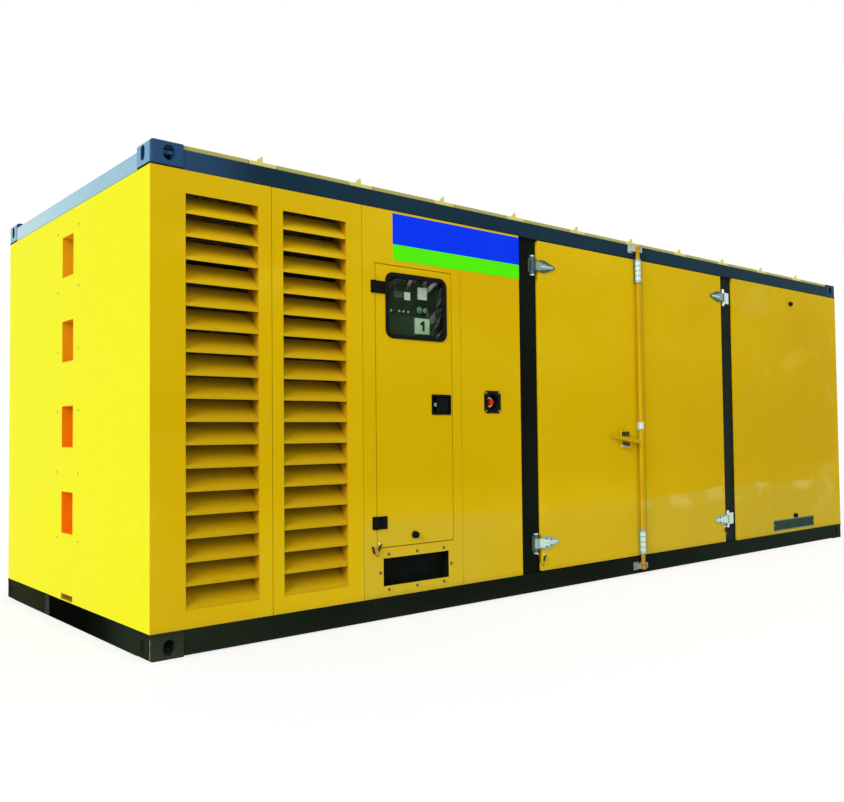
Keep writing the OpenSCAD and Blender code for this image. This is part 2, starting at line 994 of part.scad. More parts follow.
module roof_straps() {
    color(YELLOW)
        for (i = [0:strap_count - 1]) {
            roof_tray(strap_mid(i) - strap_w / 2, strap_mid(i) + strap_w / 2);
            both_sides()
                roof_lug(strap_mid(i));
        }
}

// ---- Control bay ----

module control_cabinet() {
    color([0.30, 0.33, 0.31])
        difference() {
            face_box(
                cabinet_s0, cabinet_s1, cabinet_z0, cabinet_z1,
                wall_back, wall_back + cabinet_d);
            face_box(
                cabinet_s0 + cabinet_t, cabinet_s1 - cabinet_t,
                cabinet_z0 + cabinet_t, cabinet_z1 - cabinet_t,
                wall_back - over, wall_back + cabinet_d - cabinet_t);
        }
}

module instrument_panel() {
    d0 = wall_back + panel_set;
    color([0.24, 0.29, 0.26])
        face_box(
            cabinet_s0 + cabinet_t, cabinet_s1 - cabinet_t,
            cabinet_z0 + cabinet_t, cabinet_z1 - cabinet_t, d0, d0 + cabinet_t);
}

// Leaves with a knuckle at each end of the hinge, and the pin through them.
module control_hinge_leaves() {
    half_h = chinge_h / 2;
    end_h = chinge_h / 4;
    leaf_s = cpin_s - cknuckle_r - run_room;
    color(BLACK)
        for (z = chinge_z) {
            upright(cpin_s, cpin_d, z - half_h, z + half_h, cpin_r);
            for (z0 = [z - half_h, z + half_h - end_h]) {
                upright(cpin_s, cpin_d, z0, z0 + end_h, cknuckle_r);
                face_box(leaf_s, cpin_s, z0, z0 + end_h, wall_set - cleaf_t, wall_set);
            }
            face_box(cpin_s - cleaf_l, leaf_s + over, z - half_h, z + half_h, wall_set - cleaf_t, wall_set);
        }
}

module control_hinge_straps() {
    half_h = chinge_h / 2;
    mid_h = half_h / 2 - run_room;
    neck_s = cpin_s + cknuckle_r + run_room;
    color(BLACK)
        for (z = chinge_z)
            difference() {
                union() {
                    upright(cpin_s, cpin_d, z - mid_h, z + mid_h, cknuckle_r);
                    face_box(
                        cpin_s, neck_s + over, z - mid_h, z + mid_h,
                        wall_set - cleaf_t, wall_set);
                    face_box(
                        neck_s, cpin_s + cstrap_l, z - half_h, z + half_h,
                        wall_set - cleaf_t, wall_set);
                }
                upright(cpin_s, cpin_d, z - chinge_h, z + chinge_h, cpin_r + run_gap);
            }
}

// Moves its children to the lower left corner of the window's rubber.
module at_window(inset = 0) {
    translate([cdoor_x + win_x + inset, cdoor_z1 - win_z - win_h + inset])
        children();
}

// The window's outline, smaller by inset all round.
module window_outline(inset) {
    at_window(inset)
        round_rect(win_w - 2 * inset, win_h - 2 * inset, win_r - inset);
}

// The hollow of the latch tray, smaller by inset all round, from depth d0 to d1.
module latch_box(inset, d0, d1) {
    face_box(
        latch_s0 + inset, latch_s0 + latch_w - inset,
        latch_z0 + inset, latch_z1 - inset, d0, d1);
}

module control_door() {
    color(YELLOW)
        difference() {
            face_box(
                cdoor_x, cdoor_x + cdoor_w, cdoor_z, cdoor_z1,
                wall_set, wall_set + cdoor_t);
            face_plate(wall_set - over, wall_set + cdoor_t + over)
                window_outline(gasket_w / 2);
            latch_box(latch_rim, wall_set - over, wall_set + cdoor_t + over);
        }
}

module window_gasket() {
    color(RUBBER)
        difference() {
            union() {
                face_plate(wall_set - gasket_h, wall_set)
                    window_outline(0);
                face_plate(wall_set - over, wall_set + cdoor_t - gasket_back)
                    window_outline(gasket_w / 2);
            }
            face_plate(wall_set - gasket_h - over, wall_set + cdoor_t)
                window_outline(gasket_w);
            face_plate(glass_d, glass_d + glass_t)
                window_outline(gasket_w - glass_lap);
        }
}

module window_glass() {
    color([0.35, 0.42, 0.40, 0.35])
        face_plate(glass_d, glass_d + glass_t)
            window_outline(gasket_w - glass_lap);
}

module latch_tray() {
    flange_t = 4;
    corner_r = 8;
    lock_s = latch_s0 + latch_rim + (lock_strip_w - flange_t) / 2;
    inner = latch_rim + latch_t;
    color(BLACK)
        difference() {
            union() {
                face_plate(wall_set - flange_t, wall_set)
                    translate([latch_s0, latch_z0])
                        round_rect(latch_w, latch_h, corner_r);
                latch_box(latch_rim, wall_set - over, wall_set + latch_d);
            }
            latch_box(inner, wall_set - flange_t - over, wall_set + latch_d - latch_t);
        }
    // The pin that the paddle swings on, and the lock barrel beside it.
    color(ZINC) {
        upright(
            paddle_s0, barrel_d, latch_z0 + latch_rim + over,
            latch_z1 - latch_rim - over, paddle_pin_r);
        face_rod(lock_s, latch_z, lock_r, wall_set + latch_t, wall_set + latch_d - over);
    }
}

module latch_paddle() {
    color(BLACK)
        difference() {
            union() {
                face_box(
                    paddle_s0, paddle_s1, latch_z - paddle_half_h, latch_z + paddle_half_h,
                    paddle_d, paddle_d + paddle_t);
                upright(
                    paddle_s0, barrel_d, latch_z - paddle_half_h,
                    latch_z + paddle_half_h, barrel_r);
            }
            upright(paddle_s0, barrel_d, latch_z0, latch_z1, paddle_pin_r + run_gap);
        }
}

// ---- Stop button ----

module stop_cup() {
    cup_r = stop_r + stop_wall;
    cup_back = stop_back + stop_wall;
    color(RUBBER)
        difference() {
            union() {
                face_plate(wall_set - stop_plate_t, wall_set)
                    intersection() {
                        translate([stop_x - stop_w / 2, stop_z - stop_w / 2])
                            round_rect(stop_w, stop_w, stop_corner);
                        translate([stop_x, stop_z])
                            circle(stop_w * stop_clip);
                    }
                face_rod(stop_x, stop_z, cup_r, wall_set - over, cup_back);
            }
            face_rod(stop_x, stop_z, stop_r, wall_set - stop_plate_t - over, stop_back);
            face_rod(stop_x, stop_z, stem_r + stem_gap, wall_set, cup_back + over);
        }
}

module stop_ring() {
    color([0.80, 0.66, 0.20])
        face_plate(stop_back - ring_t, stop_back)
            translate([stop_x, stop_z])
                difference() {
                    circle(ring_r);
                    circle(ring_hole_r);
                }
}

module stop_button() {
    head = stop_back - ring_t - stop_travel - button_gap - button_t;
    tail = stop_back + stop_wall + stop_travel + ring_t;
    color([0.75, 0.05, 0.05]) {
        face_rod(stop_x, stop_z, head_r, head, head + button_t);
        face_rod(stop_x, stop_z, stem_r, head + button_t - over, tail);
    }
}

// ---- Service doors ----

module left_door() {
    color(YELLOW)
        face_box(
            door_1, meet_x - door_gap / 2, door_z0, door_z1,
            door_face, door_face + door_t);
}

module right_door() {
    s0 = meet_x + door_gap / 2;
    color(YELLOW) {
        face_box(s0, door_2, door_z0, door_z1, door_face, door_face + door_t);
        face_box(
            s0, s0 + strip_w, door_z0 + strip_in, door_z1 - strip_in,
            door_face - strip_t, door_face + over);
    }
}

// A block from s_a to s_b whichever way round they are.
module span_box(s_a, s_b, z0, z1, d0, d1) {
    face_box(min(s_a, s_b), max(s_a, s_b), z0, z1, d0, d1);
}

// One hinge's fixed half: a leaf on the post, two knuckles and the pin.
module hinge_leaf(pin_s, side, z, leaf_w) {
    half_h = hinge_h / 2;
    knuckle_h = hinge_h / 4;
    plate_h = hinge_h / 3;
    plate_d = pin_d + knuckle_r / 3;
    s_out = pin_s + side * leaf_w;
    s_in = pin_s + side * (knuckle_r + arm_room);
    upright(pin_s, pin_d, z - half_h, z + half_h, pin_r);
    for (z0 = [z - half_h, z + half_h - knuckle_h]) {
        upright(pin_s, pin_d, z0, z0 + knuckle_h, knuckle_r);
        span_box(pin_s, s_in, z0, z0 + knuckle_h, plate_d, post_set);
    }
    span_box(s_in, s_out, z - plate_h, z + plate_h, plate_d, post_set);
}

// The pins stand in front of the posts, close to the plane of the doors' faces.
module door_hinge_leaves() {
    color(ZINC)
        for (z = hinge_z) {
            hinge_leaf(left_pin_s, -1, z, leaf_left);
            hinge_leaf(right_pin_s, 1, z, leaf_right);
        }
}

// The strap's outline, drawn from the pin at the origin towards +X: an even
// width over the door's edge, then a taper to a blunt tip.
module strap_outline(length, height) {
    half_h = height / 2;
    tip_h = height / 6;
    end_h = tip_h / 2;
    tip_1 = length + pin_x;
    tip_0 = tip_1 - tip_h;
    polygon([
        [pin_x + door_gap, -half_h],
        [pin_x + strap_neck, -half_h],
        [tip_0, -tip_h],
        [tip_1, -end_h],
        [tip_1, end_h],
        [tip_0, tip_h],
        [pin_x + strap_neck, half_h],
        [pin_x + door_gap, half_h]]);
}

// One hinge's moving half: a middle knuckle, an arm and a spade on the door.
module hinge_strap(pin_s, side, z) {
    half_h = hinge_h / 4 - run_room;
    arm_end = pin_s + side * (pin_x + strap_shoulder);
    difference() {
        union() {
            upright(pin_s, pin_d, z - half_h, z + half_h, knuckle_r);
            span_box(pin_s, arm_end, z - half_h, z + half_h, door_face - strap_t, door_face);
            face_plate(door_face - strap_t, door_face)
                translate([pin_s, z])
                    mirror([side < 0 ? 1 : 0, 0])
                        strap_outline(strap_l, strap_h);
        }
        upright(pin_s, pin_d, z - hinge_h, z + hinge_h, pin_r + run_gap);
    }
}

module left_door_straps() {
    color(ZINC)
        for (z = hinge_z)
            hinge_strap(left_pin_s, 1, z);
}

module right_door_straps() {
    color(ZINC)
        for (z = hinge_z)
            hinge_strap(right_pin_s, -1, z);
}

// ---- Lock rod ----

// A clamp on the right door that the rod turns in.
module rod_guide(z, height) {
    half_h = height / 2;
    clamp_h = half_h - guide_end;
    front = door_face - strip_t;
    s0 = meet_x + door_gap / 2;
    out_r = rod_r + guide_wall;
    difference() {
        union() {
            face_box(s0, s0 + guide_w, z - half_h, z + half_h, front - guide_t, front);
            face_box(s0, rod_s + out_r, z - clamp_h, z + clamp_h, rod_d, front);
            upright(rod_s, rod_d, z - clamp_h, z + clamp_h, out_r);
        }
        upright(rod_s, rod_d, z - height, z + height, rod_r + run_gap);
    }
}

module rod_guides() {
    color(ZINC) {
        rod_guide(guide_z1, guide_h);
        rod_guide(guide_z0, guide_h);
        rod_guide(hub_z + guide_mid_up, guide_mid_h);
    }
}

module lock_rod() {
    color(YELLOW) {
        upright(rod_s, rod_d, rod_z0, rod_z1, rod_r);
        for (z = [rod_z0, rod_z1])
            upright(rod_s, rod_d, z - cam_h / 2, z + cam_h / 2, cam_r);
        upright(rod_s, rod_d, hub_z - hub_h / 2, hub_z + hub_h / 2, rod_r + hub_wall);
        translate([x_left + rod_s, y_face + rod_d, hub_z])
            rotate([0, handle_tilt, 0])
                translate([-handle_l, -handle_t, -handle_h / 2])
                    cube([handle_l, handle_t, handle_h]);
    }
}

// One lug beside a cam, from s_in outwards, on its own foot on the rail.
module keeper_lug(z, side, lug_w, foot_w) {
    s_in = rod_s + side * (cam_r + keeper_gap);
    foot_z = keeper_h * 3 / 2;
    span_box(s_in, s_in + side * lug_w, z - keeper_h, z + keeper_h, rod_d - keeper_gap, rail_set);
    span_box(
        s_in, s_in + side * (lug_w + foot_w), z - foot_z, z + foot_z,
        rail_set - keeper_t, rail_set);
}

module rod_keepers() {
    color(ZINC)
        for (z = [rod_z0, rod_z1]) {
            keeper_lug(z, -1, keeper_w1, keeper_foot1);
            keeper_lug(z, 1, keeper_w2, keeper_foot2);
        }
}

// The catch on the left door: a plate with a lug above the handle and a hasp below.
module handle_catch() {
    s_mid = meet_x - catch_in;
    mid_z = hub_z + (rod_s - s_mid) * tan(handle_tilt);
    clear = handle_h / 2 + catch_gap;
    front = rod_d - catch_out;
    half_w = catch_w / 2;
    color(ZINC) {
        face_box(
            s_mid - half_w, s_mid + half_w, mid_z - clear - catch_h, mid_z + clear + catch_h,
            door_face - catch_t, door_face);
        face_box(
            s_mid - half_w, s_mid + half_w, mid_z + clear, mid_z + clear + catch_lug_h,
            front, door_face);
        face_box(
            s_mid - half_w + catch_in_s, s_mid + half_w + catch_in_s,
            mid_z - clear - catch_lug_h, mid_z - clear, front, door_face);
    }
}

// ---- Drawing ----

bottom_castings();
top_castings();
casting_pads();
bottom_side_rails();
bottom_end_rails();
top_side_rails();
top_end_rails();
door_posts();
corner_posts();
floor_beams();
floor_plate();
left_end_wall();
step_pockets();
right_end_wall();
front_louvre_walls();
front_louvre_blades();
louvre_boxes();
louvre_screens();
control_wall();
service_wall();
right_wall();
back_walls();
back_louvre_blades();
roof_panels();
roof_straps();
gland_plate();
control_cabinet();
instrument_panel();
control_hinge_leaves();
control_door();
control_hinge_straps();
window_gasket();
window_glass();
latch_tray();
latch_paddle();
stop_cup();
stop_ring();
stop_button();
left_door();
right_door();
door_hinge_leaves();
left_door_straps();
right_door_straps();
rod_guides();
lock_rod();
rod_keepers();
handle_catch();
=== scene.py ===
import math

import bmesh
import bpy
from mathutils import Matrix, Vector


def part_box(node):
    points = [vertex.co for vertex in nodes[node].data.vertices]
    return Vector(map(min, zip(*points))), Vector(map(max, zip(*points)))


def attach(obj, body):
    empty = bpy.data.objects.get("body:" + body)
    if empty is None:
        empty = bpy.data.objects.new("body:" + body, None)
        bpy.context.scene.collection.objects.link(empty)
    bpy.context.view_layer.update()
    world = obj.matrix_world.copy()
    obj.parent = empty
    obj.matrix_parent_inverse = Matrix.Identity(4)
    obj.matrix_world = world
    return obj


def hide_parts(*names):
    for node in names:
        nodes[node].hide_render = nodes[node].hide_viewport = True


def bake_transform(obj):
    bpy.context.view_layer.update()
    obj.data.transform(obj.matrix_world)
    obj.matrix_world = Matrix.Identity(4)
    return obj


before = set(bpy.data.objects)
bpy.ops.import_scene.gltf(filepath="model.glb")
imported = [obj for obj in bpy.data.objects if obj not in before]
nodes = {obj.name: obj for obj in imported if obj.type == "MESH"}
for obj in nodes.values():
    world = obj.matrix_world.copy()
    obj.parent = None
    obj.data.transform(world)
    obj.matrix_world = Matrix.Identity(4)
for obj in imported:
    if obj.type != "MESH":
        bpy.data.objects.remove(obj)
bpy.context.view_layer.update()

# ---- Places: s along the front from its left end, z up, d behind the front face, all in mm ----

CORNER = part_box("bottom_castings")[0]


def P(s, z, d):
    """A place given in mm, in the frame's metres."""
    return Vector((CORNER.x + s / 1000, CORNER.y + d / 1000, z / 1000))


def span(node):
    """A node's limits as (s0, s1, z0, z1, d0, d1) in mm."""
    lo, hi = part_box(node)
    return (
        (lo.x - CORNER.x) * 1000, (hi.x - CORNER.x) * 1000, lo.z * 1000, hi.z * 1000,
        (lo.y - CORNER.y) * 1000, (hi.y - CORNER.y) * 1000)


# ---- Materials ----

MIX_FACTOR, MIX_A, MIX_B, MIX_RESULT = 0, 6, 7, 2  # a colour Mix node's sockets


class Tree:
    """A short way to build one material's nodes. Places come from the Object coordinates,
    which are the frame's own, in metres."""

    def __init__(self, name):
        self.mat = bpy.data.materials.new(name)
        self.mat.use_nodes = True
        self.nt = self.mat.node_tree
        self.nt.nodes.clear()
        self.out = self.add("ShaderNodeOutputMaterial")
        self.bsdf = self.add("ShaderNodeBsdfPrincipled")
        self.link(self.bsdf.outputs[0], self.out.inputs["Surface"])
        self.co = self.add("ShaderNodeTexCoord").outputs["Object"]

    def add(self, kind, **props):
        n = self.nt.nodes.new(kind)
        for k, v in props.items():
            setattr(n, k, v)
        return n

    def link(self, a, b):
        self.nt.links.new(a, b)

    def noise(self, scale, detail=4.0, rough=0.55, stretch=None, distortion=0.0):
        n = self.add("ShaderNodeTexNoise")
        n.inputs["Scale"].default_value = scale
        n.inputs["Detail"].default_value = detail
        n.inputs["Roughness"].default_value = rough
        n.inputs["Distortion"].default_value = distortion
        if stretch:
            m = self.add("ShaderNodeMapping")
            m.inputs["Scale"].default_value = stretch
            self.link(self.co, m.inputs["Vector"])
            self.link(m.outputs[0], n.inputs["Vector"])
        else:
            self.link(self.co, n.inputs["Vector"])
        return n.outputs["Fac"]

    def ramp(self, fac, a, b, lo=0.0, hi=1.0):
        """fac from a..b mapped to lo..hi, smoothly and clamped."""
        m = self.add("ShaderNodeMapRange", interpolation_type="SMOOTHSTEP")
        m.inputs["From Min"].default_value = a
        m.inputs["From Max"].default_value = b
        m.inputs["To Min"].default_value = lo
        m.inputs["To Max"].default_value = hi
        self.link(fac, m.inputs["Value"])
        return m.outputs[0]

    def mix(self, fac, a, b):
        """Colours a and b, each a tuple or a socket."""
        m = self.add("ShaderNodeMix", data_type="RGBA")
        self.link(fac, m.inputs[MIX_FACTOR])
        for v, i in ((a, MIX_A), (b, MIX_B)):
            if isinstance(v, tuple):
                m.inputs[i].default_value = (*v, 1.0)
            else:
                self.link(v, m.inputs[i])
        return m.outputs[MIX_RESULT]

    def math(self, op, a, b=0.0):
        m = self.add("ShaderNodeMath", operation=op)
        for v, i in ((a, 0), (b, 1)):
            if isinstance(v, (int, float)):
                m.inputs[i].default_value = v
            else:
                self.link(v, m.inputs[i])
        return m.outputs[0]

    def times(self, a, b):
        return self.math("MULTIPLY", a, b)

    def stirred(self, value, amount, *noise, **more):
        """A value with that amount of a noise added to it."""
        return self.math("ADD", value, self.times(self.noise(*noise, **more), amount))

    def axis(self, i):
        """x, y or z of the place."""
        sep = self.add("ShaderNodeSeparateXYZ")
        self.link(self.co, sep.inputs[0])
        return sep.outputs[i]

    def facing(self, axis):
        """1 on faces that look along the axis, either way, and 0 on the rest."""
        g = self.add("ShaderNodeNewGeometry")
        sep = self.add("ShaderNodeSeparateXYZ")
        self.link(g.outputs["True Normal"], sep.inputs[0])
        return self.ramp(self.math("ABSOLUTE", sep.outputs[axis]), 0.5, 0.9)

    def bump(self, height, strength, distance):
        b = self.add("ShaderNodeBump")
        b.inputs["Strength"].default_value = strength
        b.inputs["Distance"].default_value = distance
        self.link(height, b.inputs["Height"])
        self.link(b.outputs[0], self.bsdf.inputs["Normal"])

    def worn(self, scale, detail, lo, hi):
        """A roughness that wanders from lo to hi."""
        return self.ramp(self.noise(scale, detail), 0.3, 0.75, lo, hi)

    def put(self, **values):
        """Sets the shader's sockets, named with _ for each space, and gives the material."""
        for k, v in values.items():
            s = self.bsdf.inputs[k.replace("_", " ")]
            if isinstance(v, bpy.types.NodeSocket):
                self.link(v, s)
            elif isinstance(v, tuple) and len(v) == 3:
                s.default_value = (*v, 1.0)
            else:
                s.default_value = v
        return self.mat


YELLOW_SHEEN = (1.0, 0.78, 0.16)
GOLD = (0.675, 0.455, 0.0030)
# The pale tone is the yellow as painted reflections lighten it, the rich one its deeper tone at
# mid height where the painted reflections leave off.
GOLD_PALE = (0.705, 0.500, 0.014)
GOLD_DEEP = (0.635, 0.408, 0.0025)
GOLD_RICH = (0.595, 0.385, 0.0008)
# The two lemon tones below are the walls' yellow painted lighter and paler, as the strong light on
# the end faces shows it: painted light.
LIT_LEMON = (0.690, 0.680, 0.016)
LIT_LEMON_2 = (0.695, 0.678, 0.010)
# The pale blue below is a painted reflection of the sky on the black top end rails.
SKY_GLARE_TONES = ((0.225, 0.40, 0.50), (0.350, 0.515, 0.555))


def ground_reflection_band(t, col, edge, band, tone):
    """A painted reflection of the ground along the foot of the big walls: it fades in left of the
    rod, and starts crisply right of it, with painted glints under its edge and pale painted
    reflections toward the right end. edge is an uneven height."""
    glints_tone, far_reflection_tone = (0.72, 0.58, 0.12), (0.68, 0.52, 0.06)
    x = t.axis(0)
    right = t.ramp(x, 0.30, 0.36)
    soft = t.times(t.ramp(edge, 0.73, 0.61), t.ramp(x, -1.5, -1.1, 0.60, 0.28))
    left_part = t.times(soft, t.math("SUBTRACT", 1.0, right))
    right_part = t.times(t.ramp(edge, *band, 0.0, 0.62), right)
    col = t.mix(t.math("ADD", left_part, right_part), col, tone)
    # Painted glints: pale spots just under the band's upper edge, right of the rod.
    under = t.times(t.ramp(edge, 0.672, 0.655), t.ramp(edge, 0.50, 0.62))
    spots = t.ramp(t.noise(2.6, 2.0, 0.4, stretch=(1.0, 1.0, 1.8)), 0.48, 0.64)
    glints = t.times(t.times(under, t.times(spots, right)), 0.55)
    col = t.mix(glints, col, glints_tone)
    # Pale patches of painted reflection toward the right end.
    patch = t.ramp(t.noise(1.9, 3.0, 0.55, stretch=(1.0, 1.0, 1.3), distortion=0.8), 0.55, 0.70)
    return t.mix(t.times(patch, t.ramp(x, 1.2, 2.3, 0.0, 0.38)), col, far_reflection_tone)


def yellow_paint(
        name, base, pale, deep, ior=1.06, dust_and_reflection=1.0, x_face=None, wave=0.4,
        band=(0.672, 0.652), band_tone=(0.60, 0.455, 0.034), low=None, ends=None,
        rough=(0.24, 0.38)):
    """Coach paint with slow drifts of tone, orange peel, and dust along the bottom, and painted
    reflections in its colour: cloudy pale patches, a paler top, a deeper tone at mid height and a
    pale band along the foot that is a painted reflection of the ground. Its weight for dust also
    scales the mid-height tone and the band, and below 1 makes the band plain. x_face holds the two
    tones of faces that look along the box: painted light on the lit end faces, painted shade in
    the louvres' reveals. band holds the heights between which the band's upper edge fades in; low
    is a tone that the paint drifts to on its way down, and ends the worn tone of the rod's two
    ends."""
    dirt_tone, shade_tone = (0.16, 0.115, 0.03), (0.02, 0.02, 0.0)
    t = Tree(name)
    slow = t.noise(0.55, 2.0, 0.45, stretch=(1.0, 1.0, 1.7))
    # Cloudy pale patches: painted reflections in the paint's colour.
    cloud = t.noise(1.7, 3.0, 0.5, stretch=(1.0, 1.0, 1.4), distortion=0.5)
    col = t.mix(t.ramp(slow, 0.35, 0.68), base, deep)
    col = t.mix(t.ramp(cloud, 0.48, 0.74, 0.0, 0.5), col, pale)
    x, z = t.axis(0), t.axis(2)
    # edge is the uneven height that the painted reflections at the foot and at mid height follow,
    # a little higher to the right.
    climb = t.ramp(x, 0.3, 1.2, 0.0, -0.045)
    edge = t.stirred(t.math("ADD", z, climb), 0.16, 1.1, 3.0)
    # A deeper tone at mid height, between the painted reflections of the sky above and of the
    # ground below.
    rich = t.times(t.ramp(edge, 0.70, 0.95), t.ramp(z, 1.95, 1.25, 0.0, 0.65 * dust_and_reflection))
    col = t.mix(rich, col, GOLD_RICH)
    # The pale band along the foot is a painted reflection of the ground.
    if dust_and_reflection < 1.0:
        col = t.mix(t.ramp(edge, *band, 0.0, 0.60 * dust_and_reflection), col, band_tone)
    else:
        col = ground_reflection_band(t, col, edge, band, band_tone)
    if ends:
        cap = t.math("MAXIMUM", t.ramp(z, 2.42, 2.46), t.ramp(z, 0.16, 0.12))
        col = t.mix(t.times(cap, 0.6), col, ends)
    if low:
        above = t.ramp(z, 0.40, 0.50)
        col = t.mix(t.times(t.ramp(z, 2.20, 0.80), above), col, low)
    grime = t.stirred(z, 0.07, 14.0, 4.0)
    col = t.mix(t.ramp(grime, 0.215, 0.150, 0.0, 0.30 * dust_and_reflection), col, dirt_tone)
    # Paler toward the top: a painted reflection of the sky.
    col = t.mix(t.ramp(z, 2.10, 2.45, 0.0, 0.30), col, pale)
    col = t.mix(t.ramp(x, -0.6, 2.6, 0.0, 0.13), col, shade_tone)
    # Faces that look along the box take their own tones: painted light on the lit end faces,
    # painted shade in the louvres' reveals.
    if x_face:
        col = t.mix(t.facing(0), col, t.mix(t.ramp(slow, 0.35, 0.68), x_face[0], x_face[1]))
    t.bump(t.stirred(t.noise(3.2, 2.0, 0.4), 0.10, 420.0, 2.0, 0.5), wave, 0.0025)
    r = t.worn(6.0, 4.0, *rough)
    return t.put(Base_Color=col, Roughness=r, IOR=ior, Specular_Tint=YELLOW_SHEEN)


def roof_paint(name, top, worn, edge):
    """Dusty paint on the roof, with rain marks across it and paler upright edges."""
    rain_tone, grit_tone = (0.36, 0.30, 0.12), (0.22, 0.18, 0.08)
    t = Tree(name)
    col = t.mix(t.ramp(t.noise(0.8, 3.0), 0.35, 0.7), top, worn)
    rain = t.noise(3.0, 5.0, 0.6, stretch=(3.0, 0.35, 1.0))
    col = t.mix(t.ramp(rain, 0.52, 0.78, 0.0, 0.45), col, rain_tone)
    col = t.mix(t.ramp(t.noise(38.0, 5.0, 0.7), 0.60, 0.82, 0.0, 0.35), col, grit_tone)
    col = t.mix(t.facing(2), edge, col)
    t.bump(t.stirred(t.noise(4.0, 3.0), 0.1, 260.0, 2.0), 0.4, 0.002)
    return t.put(Base_Color=col, Roughness=t.worn(7.0, 4.0, 0.35, 0.60), IOR=1.2)


def louvre_paint(name, lip, deep, back, low=None):
    """Paint whose colour darkens and browns from a louvre's front to its back, as painted shade in
    the louvre's depth, and drifts toward low on the way down."""
    dirt_tone = (0.10, 0.085, 0.03)
    t = Tree(name)
    depth = t.math("ABSOLUTE", t.axis(1))
    # Darker and browner with depth: painted shade.
    col = t.mix(t.ramp(depth, 1.214, 1.175), lip, deep)
    col = t.mix(t.ramp(depth, 1.185, 1.110), col, back)
    col = t.mix(t.ramp(t.noise(3.0, 3.0), 0.4, 0.75, 0.0, 0.35), col, deep)
    col = t.mix(t.ramp(t.noise(22.0, 5.0, 0.65), 0.58, 0.82, 0.0, 0.30), col, dirt_tone)
    if low:
        col = t.mix(t.ramp(t.axis(2), 2.25, 1.15, 0.0, 0.30), col, low)
    t.bump(t.noise(300.0, 2.0), 0.3, 0.0006)
    r = t.worn(9.0, 4.0, 0.30, 0.50)
    return t.put(Base_Color=col, Roughness=r, IOR=1.12, Specular_Tint=YELLOW_SHEEN)


def dark_paint(
        name, base, worn, ior=1.08, spec=0.5, rough=(0.26, 0.44), dust=(0.020, 0.024, 0.018),
        x_face=None, far=(0.018, 0.029, 0.022), near=None, near_span=(-2.4, -3.5),
        turn=(-1.2, 1.2)):
    """Black gloss paint with thin dust, brush marks and worn patches.
    x_face holds the tones of the outermost faces that look along the box, from the doors' side
    to the back, and turn the span of y over which one becomes the other. near and far are
    the tones toward the left end and the right end, and near_span where near fades in. On the
    top rails and castings the blue tones are painted reflections of the sky."""
    t = Tree(name)
    col = t.mix(t.ramp(t.noise(0.9, 3.0, 0.5), 0.35, 0.7), base, worn)
    specks = t.ramp(t.noise(55.0, 5.0, 0.65), 0.66, 0.80, 0.0, 0.35)
    col = t.mix(specks, col, dust)
    x, y, z = t.axis(0), t.axis(1), t.axis(2)
    col = t.mix(t.ramp(t.stirred(z, 0.12, 5.0, 4.0), 0.17, 0.03, 0.0, 0.30), col, dust)
    col = t.mix(t.ramp(x, -0.5, 3.6, 0.0, 0.7), col, far)
    if near:
        col = t.mix(t.ramp(x, *near_span, 0.0, 0.8), col, near)
    if x_face:
        outer = t.ramp(t.math("ABSOLUTE", x), 3.6535, 3.6550)
        streak = t.times(t.noise(2.6, 4.0, 0.6, stretch=(1.0, 1.0, 0.4)), 0.5)
        along = t.math("ADD", y, t.math("SUBTRACT", streak, 0.25))
        col = t.mix(t.times(t.facing(0), outer), col, t.mix(t.ramp(along, *turn), *x_face))
    t.bump(t.stirred(t.noise(7.0, 3.0), 0.15, 300.0, 2.0), 0.30, 0.0012)
    r = t.worn(9.0, 5.0, *rough)
    return t.put(Base_Color=col, Roughness=r, IOR=ior, Specular_IOR_Level=spec)


def zinc_plate(name, light, dark, metal=0.25, spec=0.25, far=None, low=None):
    """Passivated zinc: green-silver with a fine spangle and scratches.
    far is the lighter tone of the pieces right of the doors, low that of the lower pieces."""
    t = Tree(name)
    spangle = t.add("ShaderNodeTexVoronoi", feature="F1")
    spangle.inputs["Scale"].default_value = 260.0
    t.link(t.co, spangle.inputs["Vector"])
    cells = t.ramp(spangle.outputs["Distance"], 0.0, 0.7)
    col = t.mix(cells, light, dark)
    if far:
        col = t.mix(t.ramp(t.axis(0), 0.2, 0.4), col, far)
    if low:
        col = t.mix(t.ramp(t.axis(2), 1.0, 0.8, 0.0, 0.75), col, low)
    stains = t.ramp(t.noise(30.0, 5.0), 0.55, 0.78, 0.0, 0.55)
    col = t.mix(stains, col, tuple(c * 0.7 for c in dark))
    scratches = t.noise(700.0, 2.0, 0.5, stretch=(1, 1, 0.12))
    t.bump(t.math("ADD", scratches, cells), 0.25, 0.0006)
    r = t.worn(80.0, 4.0, 0.26, 0.48)
    return t.put(Base_Color=col, Roughness=r, Metallic=metal, Specular_IOR_Level=spec)


def catch_metal(name):
    """A plate painted over with the door, and dark stained lugs that stand out from it, with a
    painted highlight low on the lower lug.
    """
    painted, bare, stain = (0.030, 0.027, 0.009), (0.50, 0.50, 0.38), (0.14, 0.12, 0.07)
    t = Tree(name)
    proud = t.ramp(t.axis(1), -1.2215, -1.2235)
    # The bright tone low on the lugs is a painted highlight, not worn metal.
    worn = t.ramp(t.stirred(t.axis(2), 0.05, 26.0, 3.0), 1.030, 1.012)
    lug = t.mix(worn, painted, bare)
    lug = t.mix(t.ramp(t.noise(60.0, 4.0), 0.4, 0.75, 0.0, 0.5), lug, stain)
    col = t.mix(proud, GOLD, lug)
    t.bump(t.noise(500.0, 2.0), 0.3, 0.0005)
    return t.put(Base_Color=col, Roughness=t.worn(40.0, 4.0, 0.28, 0.48), IOR=1.12)


def plastic(name, base, worn, rough, scale, spec, bump=0.3):
    """Moulded or sprayed plastic and rubber; a low spec also flattens its shine at a low angle."""
    t = Tree(name)
    col = t.mix(t.ramp(t.noise(scale, 4.0), 0.4, 0.75), base, worn)
    t.bump(t.noise(scale * 14, 2.0), bump, 0.0005)
    return t.put(Base_Color=col, Roughness=t.worn(scale * 0.6, 4.0, *rough), IOR=1.0 + spec)


